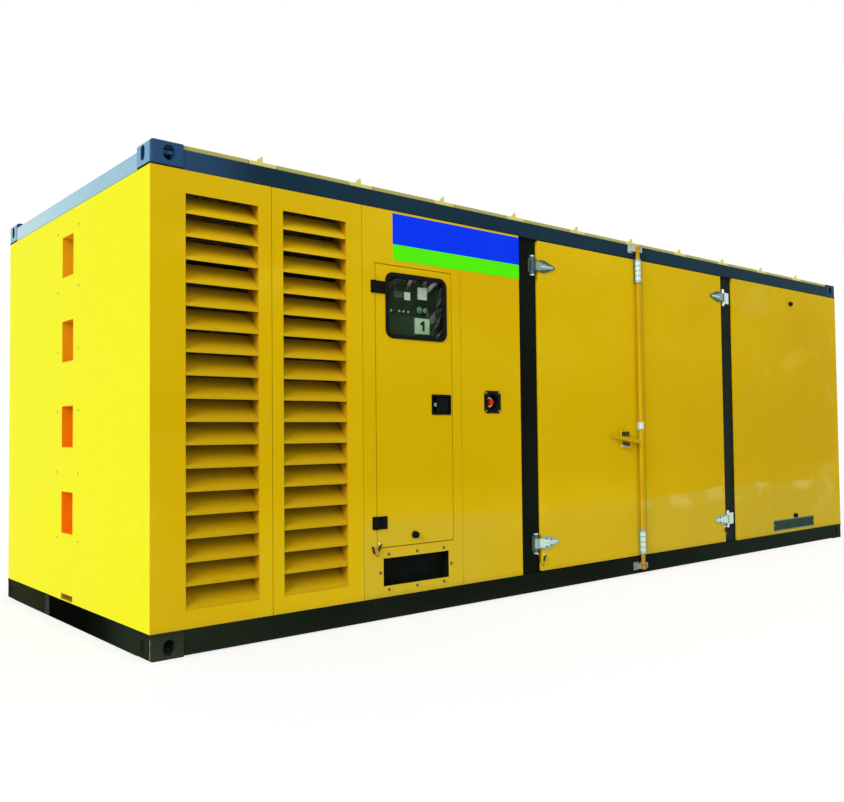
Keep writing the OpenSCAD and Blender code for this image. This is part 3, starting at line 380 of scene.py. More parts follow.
def glass_pane(name):
    """Thin tinted glazing, with faint diagonal streaks of dust near its top and its latch side."""
    t = Tree(name)
    smear = t.noise(9.0, 5.0, 0.6, stretch=(1.0, 1.0, 0.35), distortion=1.5)
    lean = t.add("ShaderNodeMapping", vector_type="TEXTURE")
    lean.inputs["Rotation"].default_value = (0.0, math.radians(-48), 0.0)
    lean.inputs["Scale"].default_value = (9.0, 1.0, 1.0)
    t.link(t.co, lean.inputs["Vector"])
    streak = t.add("ShaderNodeTexNoise")
    streak.inputs["Scale"].default_value = 46.0
    streak.inputs["Detail"].default_value = 4.0
    streak.inputs["Distortion"].default_value = 0.8
    t.link(lean.outputs[0], streak.inputs["Vector"])
    top, latch_side = t.ramp(t.axis(2), 1.955, 2.075), t.ramp(t.axis(0), -1.90, -1.74)
    edge = t.math("MAXIMUM", top, latch_side)
    haze = t.times(t.ramp(streak.outputs["Fac"], 0.52, 0.72), t.times(edge, 0.34))
    clear = t.mix(t.ramp(smear, 0.45, 0.75), (0.90, 0.96, 0.90), (0.82, 0.89, 0.82))
    col = t.mix(haze, clear, (0.55, 0.62, 0.55))
    r = t.ramp(smear, 0.4, 0.8, 0.01, 0.05)
    t.bump(t.noise(4.0, 2.0), 0.12, 0.002)
    through = t.math("SUBTRACT", 1.0, haze)
    return t.put(Base_Color=col, Roughness=r, Transmission_Weight=through, IOR=1.07)


M = {}
M["gold"] = yellow_paint("gold_paint", GOLD, GOLD_PALE, GOLD_DEEP)
# The end walls in the lemon tones: the walls' yellow with painted light.
M["lit_lemon"] = yellow_paint(
    "lit_lemon_paint", LIT_LEMON, LIT_LEMON, LIT_LEMON_2, 1.05, dust_and_reflection=0.0, wave=0.01, rough=(0.34, 0.36))
# The step pockets are the walls' yellow in painted shade: orange, more so lower down, and
# olive-dark in the toe pocket.
M["pocket"] = yellow_paint(
    "pocket_shade_paint", (0.78, 0.41, 0.010), (0.80, 0.43, 0.014), (0.76, 0.38, 0.008), dust_and_reflection=0.95,
    band=(0.50, 0.40), band_tone=(0.22, 0.20, 0.008), low=(0.86, 0.235, 0.002))
# The corner posts' end-facing sides take the lemon tones: painted light.
M["post_gold"] = yellow_paint(
    "post_paint", GOLD, GOLD_PALE, GOLD_DEEP, dust_and_reflection=0.6, x_face=(LIT_LEMON, LIT_LEMON_2),
    band=(0.80, 0.40), band_tone=(0.68, 0.48, 0.012))
# On the sides of the louvre openings, which look along the box, the orange-brown tones are painted
# shade.
M["louvre_wall"] = yellow_paint(
    "louvre_wall_paint", GOLD, GOLD_PALE, GOLD_DEEP, dust_and_reflection=0.6,
    x_face=((0.52, 0.27, 0.005), (0.46, 0.23, 0.005)), band=(0.80, 0.40),
    band_tone=(0.68, 0.48, 0.012))
# The rod has the doors' yellow paint; this darker copy of it is painted shade.
M["rod_gold"] = yellow_paint(
    "rod_paint", (0.52, 0.315, 0.006), (0.58, 0.37, 0.02), (0.44, 0.245, 0.005), dust_and_reflection=0.5,
    ends=(0.42, 0.17, 0.04))
M["roof"] = roof_paint("roof_paint", (0.56, 0.37, 0.012), (0.50, 0.34, 0.03), (0.42, 0.39, 0.10))
M["roof_strap"] = roof_paint(
    "strap_paint", (0.60, 0.40, 0.014), (0.55, 0.38, 0.03), (0.66, 0.60, 0.18))
# The blades go from the bright yellow lip to painted shade at the back.
M["blade"] = louvre_paint(
    "blade_paint", (0.675, 0.450, 0.008), (0.62, 0.370, 0.004), (0.36, 0.23, 0.008),
    (0.20, 0.10, 0.0))
# The louvre boxes' reveals: the walls' yellow painted orange-brown and darker inward, painted
# shade.
M["reveal"] = louvre_paint(
    "reveal_paint", (0.50, 0.26, 0.004), (0.36, 0.17, 0.004), (0.16, 0.08, 0.006))
M["frame"] = dark_paint("frame_black", (0.0034, 0.0050, 0.0030), (0.0060, 0.0088, 0.0055))
M["frame_olive"] = dark_paint(
    "frame_olive", (0.014, 0.018, 0.008), (0.020, 0.024, 0.012), spec=0.0)
# On the bottom end rail's outer face a painted grey-green reflection near the doors' side fades to
# near black behind; the rails are also lighter toward the left end.
M["frame_low"] = dark_paint(
    "frame_black_low", (0.0072, 0.0110, 0.0068), (0.0110, 0.0160, 0.0100), spec=0.0,
    x_face=((0.016, 0.023, 0.014), (0.0022, 0.0024, 0.0018)), turn=(-1.0, -0.35),
    near=(0.016, 0.023, 0.013))
M["casting_low"] = dark_paint(
    "casting_low", (0.018, 0.026, 0.0135), (0.025, 0.036, 0.020), spec=0.0,
    dust=(0.055, 0.070, 0.050), x_face=((0.016, 0.021, 0.011), (0.016, 0.021, 0.011)))
# The top side rails' blue is a painted reflection of the sky on the black paint, strongest toward
# the left end.
M["frame_top"] = dark_paint(
    "frame_blue_black", (0.0080, 0.027, 0.046), (0.0110, 0.034, 0.055),
    far=(0.0110, 0.040, 0.052), near=(0.0240, 0.067, 0.140), near_span=(-3.00, -3.42))
# The top end rails' outer faces take the pale blue painted reflection of the sky.
M["rail_pale"] = dark_paint(
    "rail_sky_glare", (0.010, 0.036, 0.085), (0.014, 0.044, 0.10), 1.12, rough=(0.16, 0.30),
    x_face=SKY_GLARE_TONES)
# The top castings' navy, and the pale blue on their end faces, are painted reflections of the sky
# on black paint, darker toward the right end.
M["casting_top"] = dark_paint(
    "casting_blue", (0.018, 0.062, 0.140), (0.025, 0.080, 0.175), 1.12, rough=(0.16, 0.30),
    x_face=((0.135, 0.28, 0.42), (0.20, 0.36, 0.46)), far=(0.004, 0.026, 0.036))
M["floor_steel"] = dark_paint(
    "floor_steel", (0.05, 0.055, 0.05), (0.09, 0.09, 0.08), 1.3, rough=(0.45, 0.7),
    dust=(0.10, 0.10, 0.085))
M["zinc"] = zinc_plate("zinc_plate", (0.34, 0.48, 0.42), (0.17, 0.26, 0.22))
M["strap"] = zinc_plate(
    "strap_zinc", (0.085, 0.145, 0.120), (0.045, 0.080, 0.065), 0.1, 0.12,
    low=(0.34, 0.52, 0.44))
M["pressing"] = zinc_plate(
    "pressed_zinc", (0.34, 0.48, 0.42), (0.17, 0.26, 0.22), low=(0.66, 0.90, 0.80))
M["zinc_bright"] = zinc_plate("zinc_bright", (0.78, 0.92, 0.87), (0.42, 0.57, 0.51), 0.2, 0.30)
M["keeper"] = zinc_plate(
    "keeper_zinc", (0.66, 0.78, 0.72), (0.34, 0.46, 0.40), 0.2, 0.30, low=(0.13, 0.21, 0.17))
M["hinge_leaf"] = zinc_plate(
    "hinge_leaf_zinc", (0.10, 0.15, 0.145), (0.055, 0.09, 0.088), 0.2, 0.2,
    far=(0.62, 0.76, 0.71))
M["zinc_dark"] = zinc_plate("zinc_dark", (0.10, 0.15, 0.145), (0.055, 0.09, 0.088), 0.2, 0.20)
M["catch"] = catch_metal("catch_metal")
M["glass"] = glass_pane("window_glass_tint")
PLASTICS = {  # name, tone, worn tone, roughness, scale of the mottling, shine, bump
    "rubber": (
        "black_rubber", (0.0045, 0.0050, 0.0042), (0.010, 0.010, 0.008), (0.5, 0.75), 40.0,
        0.14),
    "black": (
        "black_plastic", (0.0030, 0.0035, 0.0028), (0.0060, 0.0066, 0.0055), (0.3, 0.5), 50.0,
        0.12),
    "gland": (
        "gland_black", (0.0045, 0.0068, 0.0045), (0.0075, 0.0100, 0.0075), (0.4, 0.6), 16.0,
        0.08),
    "cabinet": (
        "cabinet_grey", (0.024, 0.044, 0.023), (0.035, 0.058, 0.034), (0.35, 0.55), 6.0, 0.10),
    "panel": (
        "panel_green_grey", (0.018, 0.036, 0.017), (0.026, 0.046, 0.024), (0.3, 0.5), 5.0, 0.10),
    "mesh": ("mesh_black", (0.012, 0.012, 0.010), (0.030, 0.028, 0.022), (0.4, 0.6), 90.0, 0.15),
    "ring": ("stop_yellow", (0.90, 0.62, 0.20), (0.72, 0.48, 0.14), (0.4, 0.6), 60.0, 0.15),
    "red": ("stop_red", (0.72, 0.012, 0.014), (0.52, 0.008, 0.008), (0.22, 0.4), 60.0, 0.3),
    "sign_blue": (
        "sign_blue", (0.0028, 0.036, 0.90), (0.0035, 0.042, 0.86), (0.30, 0.45), 3.0, 0.08,
        0.05),
    "sign_green": (
        "sign_green", (0.085, 0.88, 0.0035), (0.095, 0.84, 0.005), (0.30, 0.45), 3.0, 0.08,
        0.05),
    "plate_grey": (
        "plate_grey", (0.024, 0.052, 0.040), (0.034, 0.068, 0.052), (0.3, 0.5), 12.0, 0.05),
    "plate_rim": ("plate_rim", (0.16, 0.20, 0.15), (0.22, 0.27, 0.20), (0.3, 0.5), 20.0, 0.1),
    "label": ("label_white", (0.66, 0.74, 0.62), (0.52, 0.60, 0.50), (0.4, 0.6), 40.0, 0.2),
    "number_plate": (
        "number_plate_green", (0.46, 0.60, 0.42), (0.38, 0.50, 0.34), (0.4, 0.6), 14.0, 0.1),
    "ink": ("ink_black", (0.006, 0.008, 0.006), (0.012, 0.014, 0.012), (0.4, 0.6), 60.0, 0.3),
    "display": (
        "display_green", (0.012, 0.030, 0.010), (0.018, 0.045, 0.014), (0.12, 0.25), 40.0, 0.5),
    "lamp_teal": ("lamp_teal", (0.03, 0.22, 0.13), (0.05, 0.32, 0.20), (0.15, 0.3), 80.0, 0.6),
    "fascia": (
        "fascia_green", (0.011, 0.023, 0.010), (0.018, 0.032, 0.016), (0.3, 0.5), 5.0, 0.10),
    "copper": (
        "terminal_brown", (0.055, 0.022, 0.008), (0.030, 0.012, 0.006), (0.3, 0.5), 90.0, 0.15),
    "wire": ("earth_wire", (0.16, 0.11, 0.03), (0.10, 0.07, 0.02), (0.4, 0.6), 120.0, 0.2),
    "scuffed": (
        "scuffed_weld", (0.017, 0.023, 0.017), (0.038, 0.049, 0.038), (0.4, 0.6), 14.0, 0.05),
    "rivet": ("rivet_olive", (0.30, 0.30, 0.06), (0.22, 0.22, 0.05), (0.35, 0.55), 120.0, 0.4),
    # Scuffed paint made paler by a painted highlight along the casting's edge.
    "scuff_and_highlight": (
        "scuff_and_highlight_paint", (0.10, 0.15, 0.11), (0.26, 0.34, 0.28), (0.4, 0.6), 30.0, 0.05),
    # A darker line in the paint's colour: painted shade along the fold of the meeting strip.
    "fold_shade": ("fold_shade_olive", (0.28, 0.175, 0.004), (0.36, 0.23, 0.006), (0.4, 0.6), 3.0, 0.08),
}
for key, values in PLASTICS.items():
    M[key] = plastic(*values)

LOOK = {  # which nodes each material is on
    "casting_low": "bottom_castings casting_pads",
    "casting_top": "top_castings",
    "frame_low": "bottom_side_rails bottom_end_rails floor_beams",
    "frame_top": "top_side_rails",
    "rail_pale": "top_end_rails",
    "frame": "door_posts",
    "post_gold": "corner_posts",
    "floor_steel": "floor_plate",
    "lit_lemon": "left_end_wall right_end_wall",
    "pocket": "step_pockets",
    "louvre_wall": "front_louvre_walls",
    "blade": "front_louvre_blades back_louvre_blades",
    "reveal": "louvre_boxes",
    "mesh": "louvre_screens",
    "gold": "control_wall service_wall right_wall back_walls control_door left_door right_door"
            " lock_rod",
    "roof": "roof_panels",
    "roof_strap": "roof_straps",
    "gland": "gland_plate",
    "cabinet": "control_cabinet",
    "panel": "instrument_panel",
    "black": "control_hinge_leaves control_hinge_straps latch_tray latch_paddle",
    "rubber": "window_gasket stop_cup",
    "glass": "window_glass",
    "ring": "stop_ring",
    "red": "stop_button",
    "hinge_leaf": "door_hinge_leaves",
    "strap": "left_door_straps right_door_straps",
    "zinc_bright": "rod_guides",
    "keeper": "rod_keepers",
    "catch": "handle_catch"}
look_of = {name: key for key, names in LOOK.items() for name in names.split()}
for name, ob in nodes.items():
    ob.data.materials.clear()
    ob.data.materials.append(M[look_of[name]])


def soften(ob, width, angle, **props):
    """Rounds a piece's edges that are sharper than the angle, by a width in mm."""
    edge = ob.modifiers.new("edge", "BEVEL")
    edge.width = width / 1000
    edge.segments = 2
    edge.limit_method = "ANGLE"
    edge.angle_limit = math.radians(angle)
    for k, v in props.items():
        setattr(edge, k, v)


WELD_REACH = 0.00002  # metres
ROUNDED = {  # the width in mm by which a node's edges are rounded
    "top_side_rails": 5.0, "bottom_side_rails": 5.0, "top_end_rails": 5.0, "bottom_end_rails": 5.0,
    "door_posts": 4.0, "right_wall": 2.0, "back_walls": 2.0, "left_door": 2.5, "casting_pads": 2.0}
for name, width in ROUNDED.items():
    weld = nodes[name].modifiers.new("weld", "WELD")
    weld.merge_threshold = WELD_REACH
    soften(nodes[name], width, 50)

# ---- World, floor, lights and camera ----

WHITE = (1.0, 1.0, 1.0, 1.0)
SKY_LIGHT = 0.62  # the light that the white sky gives the object
FLOOR_TONE = (0.80, 0.80, 0.80, 1)
FLOOR_GLOW, GLOW_SHARE = 1.15, 0.62  # what whitens the floor where it is seen
FLOOR_HALF, FLOOR_DROP = 60.0, 0.0006  # half its side, and how far it lies below z = 0


def seen_mask(nt):
    """1 for rays that show the backdrop: camera, glossy and transmission."""
    rays = nt.nodes.new("ShaderNodeLightPath")
    seen = rays.outputs["Is Camera Ray"]
    for kind in ("Is Glossy Ray", "Is Transmission Ray"):
        most = nt.nodes.new("ShaderNodeMath")
        most.operation = "MAXIMUM"
        nt.links.new(seen, most.inputs[0])
        nt.links.new(rays.outputs[kind], most.inputs[1])
        seen = most.outputs[0]
    return seen


def shader(nt, kind, *values):
    """A shader node with its first inputs set, and its output."""
    n = nt.nodes.new(kind)
    for socket, v in zip(n.inputs, values):
        socket.default_value = v
    return n.outputs[0]


def blended(nt, out_kind, share, a, b):
    """Shader a turning into b by share, into the tree's output."""
    mix = nt.nodes.new("ShaderNodeMixShader")
    out = nt.nodes.new(out_kind)
    for i, socket in enumerate((share, a, b)):
        nt.links.new(socket, mix.inputs[i])
    nt.links.new(mix.outputs[0], out.inputs[0])


world = bpy.data.worlds.new("studio")
bpy.context.scene.world = world
world.use_nodes = True
wt = world.node_tree
wt.nodes.clear()
lit = shader(wt, "ShaderNodeBackground", WHITE, SKY_LIGHT)
shown = shader(wt, "ShaderNodeBackground", WHITE, 1.0)
blended(wt, "ShaderNodeOutputWorld", seen_mask(wt), lit, shown)

fm = bpy.data.meshes.new("studio_floor")
fm.from_pydata(
    [(x * FLOOR_HALF, y * FLOOR_HALF, 0) for x, y in ((-1, -1), (1, -1), (1, 1), (-1, 1))],
    [], [(0, 1, 2, 3)])
floor = bpy.data.objects.new("studio_floor", fm)
bpy.context.scene.collection.objects.link(floor)
floor.location.z = -FLOOR_DROP
fmat = bpy.data.materials.new("floor_white")
fmat.use_nodes = True
ft = fmat.node_tree
ft.nodes.clear()
glow_share = ft.nodes.new("ShaderNodeMath")
glow_share.operation = "MULTIPLY"
glow_share.inputs[1].default_value = GLOW_SHARE
ft.links.new(seen_mask(ft), glow_share.inputs[0])
matt = shader(ft, "ShaderNodeBsdfDiffuse", FLOOR_TONE)
glow = shader(ft, "ShaderNodeEmission", WHITE, FLOOR_GLOW)
blended(ft, "ShaderNodeOutputMaterial", glow_share.outputs[0], matt, glow)
fm.materials.append(fmat)


def sun(name, towards, strength, angle):
    """A soft sun whose light comes from the direction towards."""
    li = bpy.data.lights.new(name, "SUN")
    li.energy = strength
    li.angle = math.radians(angle)
    ob = bpy.data.objects.new(name, li)
    bpy.context.scene.collection.objects.link(ob)
    ob.rotation_euler = Vector(towards).to_track_quat("Z", "Y").to_euler()


sun("key", (-0.86, -0.26, 0.44), 2.3, 28)
sun("front_fill", (0.10, -0.90, 0.42), 0.32, 60)
sun("back_fill", (0.75, 0.60, 0.30), 0.55, 60)

# The camera is fitted to the photo's corners.
CAMERA_PLACE = (-5.4135, -5.4530, 1.0960)
RIGHT = Vector((0.75481, -0.65584, -0.01116))
AHEAD = Vector((0.65576, 0.75410, 0.03629))
UP = Vector((-0.01539, -0.03472, 0.99928))
cam_data = bpy.data.cameras.new("photo_view")
cam = bpy.data.objects.new("photo_view", cam_data)
bpy.context.scene.collection.objects.link(cam)
rot = Matrix((RIGHT, UP, -AHEAD)).transposed()
cam.matrix_world = Matrix.Translation(CAMERA_PLACE) @ rot.to_4x4()
cam_data.sensor_width = 36.0
cam_data.lens = 37.715
cam_data.shift_x = -0.0270
cam_data.shift_y = 0.0018
cam_data.clip_end = 300.0
bpy.context.scene.camera = cam
bpy.context.scene.view_settings.view_transform = "Standard"

# ---- Shapes: a piece is built up from simple closed solids ----


def arc(centre, r, a0, a1, n):
    """Points of an arc in (s, z), angles in degrees."""
    angles = [math.radians(a0 + (a1 - a0) * i / n) for i in range(n + 1)]
    return [(centre[0] + r * math.cos(a), centre[1] + r * math.sin(a)) for a in angles]


def rounded(s0, s1, z0, z1, r):
    """A rectangle's outline with corners of radius r, as (s, z) points."""
    corners = (
        (s1 - r, z1 - r, 0), (s0 + r, z1 - r, 90), (s0 + r, z0 + r, 180), (s1 - r, z0 + r, 270))
    return [point for s, z, a in corners for point in arc((s, z), r, a, a + 90, 6)]


class Shape:
    """A mesh that grows from closed solids; done() makes it a piece."""

    def __init__(self):
        self.bm = bmesh.new()

    def rings(self, loops, closed=False):
        """Skins equal rings of points, with an end cap at each end unless closed."""
        vs = [[self.bm.verts.new(p) for p in loop] for loop in loops]
        n = len(vs[0])
        count = len(vs) if closed else len(vs) - 1
        for k in range(count):
            a, b = vs[k], vs[(k + 1) % len(vs)]
            for i in range(n):
                j = (i + 1) % n
                self.bm.faces.new((a[i], a[j], b[j], b[i]))
        if not closed:
            self.bm.faces.new(vs[0][::-1])
            self.bm.faces.new(vs[-1])
        return self

    def prism(self, outline, d0, d1):
        """An outline in (s, z), solid from depth d0 to d1."""
        return self.rings([[P(s, z, d) for s, z in outline] for d in (d0, d1)])

    def block(self, s0, s1, z0, z1, d0, d1):
        """A box."""
        return self.prism([(s0, z0), (s1, z0), (s1, z1), (s0, z1)], d0, d1)

    def border(self, s0, s1, z0, z1, width, d0, d1):
        """Four strips of that width inside a rectangle."""
        sides = (
            (s0, s0 + width, z0, z1), (s1 - width, s1, z0, z1),
            (s0, s1, z0, z0 + width), (s0, s1, z1 - width, z1))
        for strip in sides:
            self.block(*strip, d0, d1)

    def turned(self, profile, centre, axis=(0, -1, 0), n=20):
        """A turned solid: profile holds (radius, height) in mm, heights along axis."""
        axis = Vector(axis).normalized()
        u = axis.orthogonal().normalized()
        v = axis.cross(u)
        loops = []
        for r, h in profile:
            mid = centre + axis * (h / 1000)
            ring = []
            for i in range(n):
                a = 2 * math.pi * i / n
                ring.append(mid + (u * math.cos(a) + v * math.sin(a)) * (r / 1000))
            loops.append(ring)
        return self.rings(loops)

    def tube(self, points, r, n):
        """A round tube of radius r mm along the points."""
        loops = []
        u = None
        for i, p in enumerate(points):
            t = (points[min(i + 1, len(points) - 1)] - points[max(i - 1, 0)]).normalized()
            u = t.orthogonal().normalized() if u is None else (u - t * u.dot(t)).normalized()
            v = t.cross(u)
            loops.append([
                p + (u * math.cos(2 * math.pi * k / n) + v * math.sin(2 * math.pi * k / n))
                * (r / 1000)
                for k in range(n)])
        return self.rings(loops)

    def mesh(self, name, mat, bevel=0.0, angle=38):
        """The object, smooth up to that angle, that rides on no body yet."""
        bmesh.ops.recalc_face_normals(self.bm, faces=self.bm.faces)
        me = bpy.data.meshes.new(name)
        self.bm.to_mesh(me)
        self.bm.free()
        me.materials.append(M[mat])
        me.shade_smooth()
        me.set_sharp_from_angle(angle=math.radians(angle))
        ob = bpy.data.objects.new(name, me)
        bpy.context.scene.collection.objects.link(ob)
        if bevel:
            soften(ob, bevel, 40, harden_normals=True)
        return ob

    def done(self, name, mat, body="root", bevel=0.0, angle=38):
        """The object, riding on its body."""
        ob = self.mesh(name, mat, bevel, angle)
        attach(ob, body)
        return ob


def bolt(shape, s, z, d, r, h):
    """A hexagon-headed screw on its washer, standing out from depth d, each one turned
    differently."""
    c = P(s, z, d)
    shape.turned([(r * 1.25, -0.5), (r * 1.25, 1.2), (r * 1.15, 1.6)], c, n=20)
    turn = (s * 7 + z * 3) % 60
    angles = [math.radians(turn + 60 * k) for k in range(6)]
    hexagon = [(s + r * math.cos(a), z + r * math.sin(a)) for a in angles]
    shape.prism(hexagon, d - 1.4, d - h * 0.8)
    shape.turned([(r * 0.84, h * 0.78), (r * 0.80, h * 0.9), (r * 0.55, h)], c, n=20)


def dome(shape, s, z, d, r, h, axis=(0, -1, 0)):
    """A low round head."""
    shape.turned(
        [(r, -0.5), (r, h * 0.25), (r * 0.88, h * 0.62), (r * 0.6, h * 0.88), (r * 0.25, h)],
        P(s, z, d), axis, n=18)


# ---- The signs ----

BITE = 0.2  # how far a plate goes into the face it lies on


def flat_plate(name, mat, s0, s1, z0, z1, r, d0, d1, bevel=0.0):
    """A plate with corners of radius r."""
    Shape().prism(rounded(s0, s1, z0, z1, r), d0, d1).done(name, mat, bevel=bevel)


wall = span("control_wall")
face_d = wall[4]


def banner():
    """A vinyl sign in two plain bands, between the louvres and the door post."""
    s0, s1 = wall[0] + 231, span("door_posts")[0] + 1
    z0, z_mid, z1 = wall[3] - 300, wall[3] - 203, wall[3] - 13
    thick = 1.5
    for colour, low, high in (("blue", z_mid, z1), ("green", z0, z_mid)):
        band = Shape().block(s0, s1, low, high, face_d - thick, face_d + BITE)
        band.done("banner_" + colour, "sign_" + colour)


def name_plate():
    """A small plate low on the right wall, bare inside its pale rim."""
    wall = span("right_wall")
    s0, s1 = wall[1] - 1252, wall[1] - 473
    z0, z1 = wall[2] + 26, wall[2] + 128
    d, rim = wall[4], 9
    flat_plate("plate_rim", "plate_rim", s0, s1, z0, z1, 8, d - 2.0, d + BITE, 0.6)
    flat_plate(
        "plate_field", "plate_grey", s0 + rim, s1 - rim, z0 + rim, z1 - rim, 5, d - 2.6, d - 1.8)
    screws = Shape()
    for s in (s0 + 20, s1 - 20):
        dome(screws, s, (z0 + z1) / 2, d - 2.6, 6, 3)
    screws.done("plate_screws", "zinc")


banner()
name_plate()

# ---- Louvre screens of woven wire ----

screens = span("louvre_screens")
boxes = span("louvre_boxes")
louvre_widths = (416, 421)
wire_pitch, wire_r, screen_lap = 12.0, 1.1, 27


def wire_panel(shape, s0, s1, z0, z1, d):
    """Upright wires, level wires in front of them, and a rim round both."""
    count = int((s1 - s0) / wire_pitch)
    for i in range(count + 1):
        s = s0 + (s1 - s0) * i / count
        shape.block(s - wire_r, s + wire_r, z0, z1, d, d + 2 * wire_r)
    rows = int((z1 - z0) / wire_pitch)
    for i in range(rows + 1):
        z = z0 + (z1 - z0) * i / rows
        shape.block(s0, s1, z - wire_r, z + wire_r, d - 1.6, d + 2 * wire_r - 1.6)
    shape.border(s0, s1, z0, z1, 14, d - 1.7, d + 2.4)


def louvre_mesh():
    """A wire panel behind each column of louvres, at the front and at the back."""
    mesh = Shape()
    past = screen_lap + 6
    ends = (
        (screens[0], boxes[0] + louvre_widths[0] + past),
        (boxes[1] - louvre_widths[1] - past, screens[1]))
    for s0, s1 in ends:
        for d in (screens[4] + 1.8, screens[5] - 3.0):
            wire_panel(mesh, s0, s1, screens[2], screens[3], d)
    ob = mesh.done("louvre_wire_mesh", "mesh")
    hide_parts("louvre_screens")


# ---- Control bay ----

panel = span("instrument_panel")


def instruments():
    """What shows behind the window: plates, labels, a lamp, a key switch and a number."""
    d = panel[4]
    s0 = wall[0]
    upper, lower, lamp_z = (1848, 2076), (1618, 1838), 1890

    def fitted(name, mat, a, b, levels, r, out, into, bevel=0.0):
        flat_plate(name, mat, s0 + a, s0 + b, *levels, r, d - out, d + into, bevel)

    fitted("fascia_plate", "fascia", 262, 648, upper, 6, 2.5, BITE, 0.8)
    fitted("lower_plate", "cabinet", 262, 462, lower, 6, 2.0, BITE, 0.8)
    Shape().block(s0 + 466, s0 + 469, *lower, d - 3, d + BITE).done("plate_edge", "plate_rim")
    fitted("label_small", "label", 390, 438, (1945, 1994), 3, 3.4, -2.3)
    fitted("label_large", "label", 502, 575, (1957, 2034), 3, 3.4, -2.3)
    marks = Shape()
    for i in range(9):
        z = 1960 + i * 8.2
        marks.block(s0 + 495, s0 + 500, z, 1964.5 + i * 8.2, d - 3.2, d - 2.3)
    for s in (285, 349, 383, 421):
        dome(marks, s0 + s, 1870, d - 2.4, 6.5, 5)
    marks.done("fascia_marks", "label")
    fitted("display_window", "display", 309, 376, (1953, 1993), 4, 5, -2.3, 0.8)
    rim = Shape()
    rim.turned([(21, 1), (21, 5), (18, 7), (17.5, 2)], P(s0 + 513, lamp_z, d))
    rim.turned([(16, 1), (16, 6), (14, 8), (8, 9), (8, 2)], P(s0 + 560, lamp_z, d))
    rim.done("lamp_rims", "zinc")
    lens = Shape()
    dome(lens, s0 + 513, lamp_z, d - 2, 16.5, 12)
    lens.done("lamp_lens", "lamp_teal")
    slot = Shape().block(s0 + 558.5, s0 + 561.5, lamp_z - 10, lamp_z + 10, d - 10.5, d - 2)
    slot.done("key_slot", "ink")
    fitted("number_plate", "number_plate", 474, 595, (1737, 1837), 3, 3.0, BITE, 0.6)
    c = s0 + 537
    one = ((-2, 1756), (17, 1756), (17, 1821), (4, 1821), (-18, 1806), (-18, 1790), (-2, 1797))
    Shape().prism([(c + a, z) for a, z in one], d - 4.0, d - 2.8).done("number_one", "ink")
    screws = Shape()
    for s in (272, 638):
        for z in (1856, 2068):
            dome(screws, s0 + s, z, d - 2.4, 5, 2.5)
    screws.done("fascia_screws", "zinc")


def cable_screws():
    """Screws round the cable opening, in the CAD's holes, and inside it four knock-outs and
    an edging."""
    plate = span("gland_plate")
    s_mid, z_mid = (plate[0] + plate[1]) / 2, (plate[2] + plate[3]) / 2
    across, up_to, out = 217, 105, 280
    spots = [(a, b) for a in (-across, 0, across) for b in (-up_to, up_to)]
    screws = Shape()
    for s, z in spots + [(-out, 0), (out, 0)]:
        bolt(screws, s_mid + s, z_mid + z, face_d, 7.5, 6)
    screws.done("cable_screws", "zinc_dark")
    rim = Shape()
    for s in (-180, -60, 60, 180):
        centre = P(s_mid + s, z_mid, plate[4])
        rim.turned([(34, -0.5), (34, 2.0), (31, 3.0), (25, 2.6), (22, 1.2)], centre, n=28)
    rim.done("gland_knockouts", "gland")
    lap, thick = 37, 2
    edging = Shape()
    edging.border(
        plate[0] + lap, plate[1] - lap, plate[2] + lap, plate[3] - lap,
        thick, face_d - 0.6, plate[4] + BITE)
    edging.done("cable_edging", "gland")


def knob(name, s, z, d, r, body="root"):
    """A black rubber buffer on a short stub, and its washer."""
    stub = [(r * 0.55, -1), (r * 0.55, 6)]
    head = [(r * 0.9, 8), (r, 13), (r, 22), (r * 0.86, 27), (r * 0.5, 29.5), (r * 0.12, 30)]
    washer = [(r * 1.1, -0.5), (r * 1.1, 2), (r * 0.8, 3)]
    Shape().turned(stub + head, P(s, z, d)).done(name, "rubber", body)
    Shape().turned(washer, P(s, z, d)).done(name + "_washer", "copper", body)


def stop_details():
    """The four rivets of the stop button's cup, and the round lip at its mouth."""
    cup = span("stop_cup")
    ring = span("stop_ring")
    s, z = (ring[0] + ring[1]) / 2, (ring[2] + ring[3]) / 2
    off = 59
    rivets = Shape()
    for a in (-off, off):
        for b in (-off, off):
            dome(rivets, s + a, z + b, cup[4], 6.5, 3.0)
    rivets.done("stop_rivets", "zinc")
    lip_r, across, deep = 56.5, 3.5, 2.0
    around = [2 * math.pi * i / 40 for i in range(40)]
    loops = []
    for k in range(8):
        a = 2 * math.pi * k / 8
        r, d = lip_r + across * math.cos(a), cup[4] - 0.5 - deep * math.sin(a)
        loops.append([P(s + r * math.cos(b), z + r * math.sin(b), d) for b in around])
    Shape().rings(loops, closed=True).done("stop_cup_lip", "rubber")


def latch_details():
    """The latch's lock: a part-round cover, a barrel and its key slot."""
    tray = span("latch_tray")
    s, z = tray[0] + 30, (tray[2] + tray[3]) / 2
    d = tray[4]
    lock = Shape()
    lock.prism(arc((s, z), 12.5, 60, 300, 16), d - 1.2, d + 6)
    lock.turned([(8.0, 0.5), (8.0, 2.2), (7.0, 2.8)], P(s, z, d))
    lock.done("latch_lock", "zinc", "control_door", bevel=0.5)
    slot = Shape().block(s - 5, s + 5, z - 1.2, z + 1.2, d - 3.3, d - 2.0)
    slot.done("latch_key_slot", "ink", "control_door")


louvre_mesh()
instruments()
cable_screws()
stop_details()
latch_details()
cdoor = span("control_door")
knob("control_door_buffer", cdoor[0] + 283, cdoor[2] + 56, cdoor[4], 21, "control_door")
rwall = span("right_wall")
for level, z in (("low", rwall[2] + 151), ("high", rwall[3] - 141)):
    knob("panel_buffer_" + level, rwall[1] - 847, z, rwall[4], 20)

# ---- End wall ----

end_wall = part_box("left_end_wall")


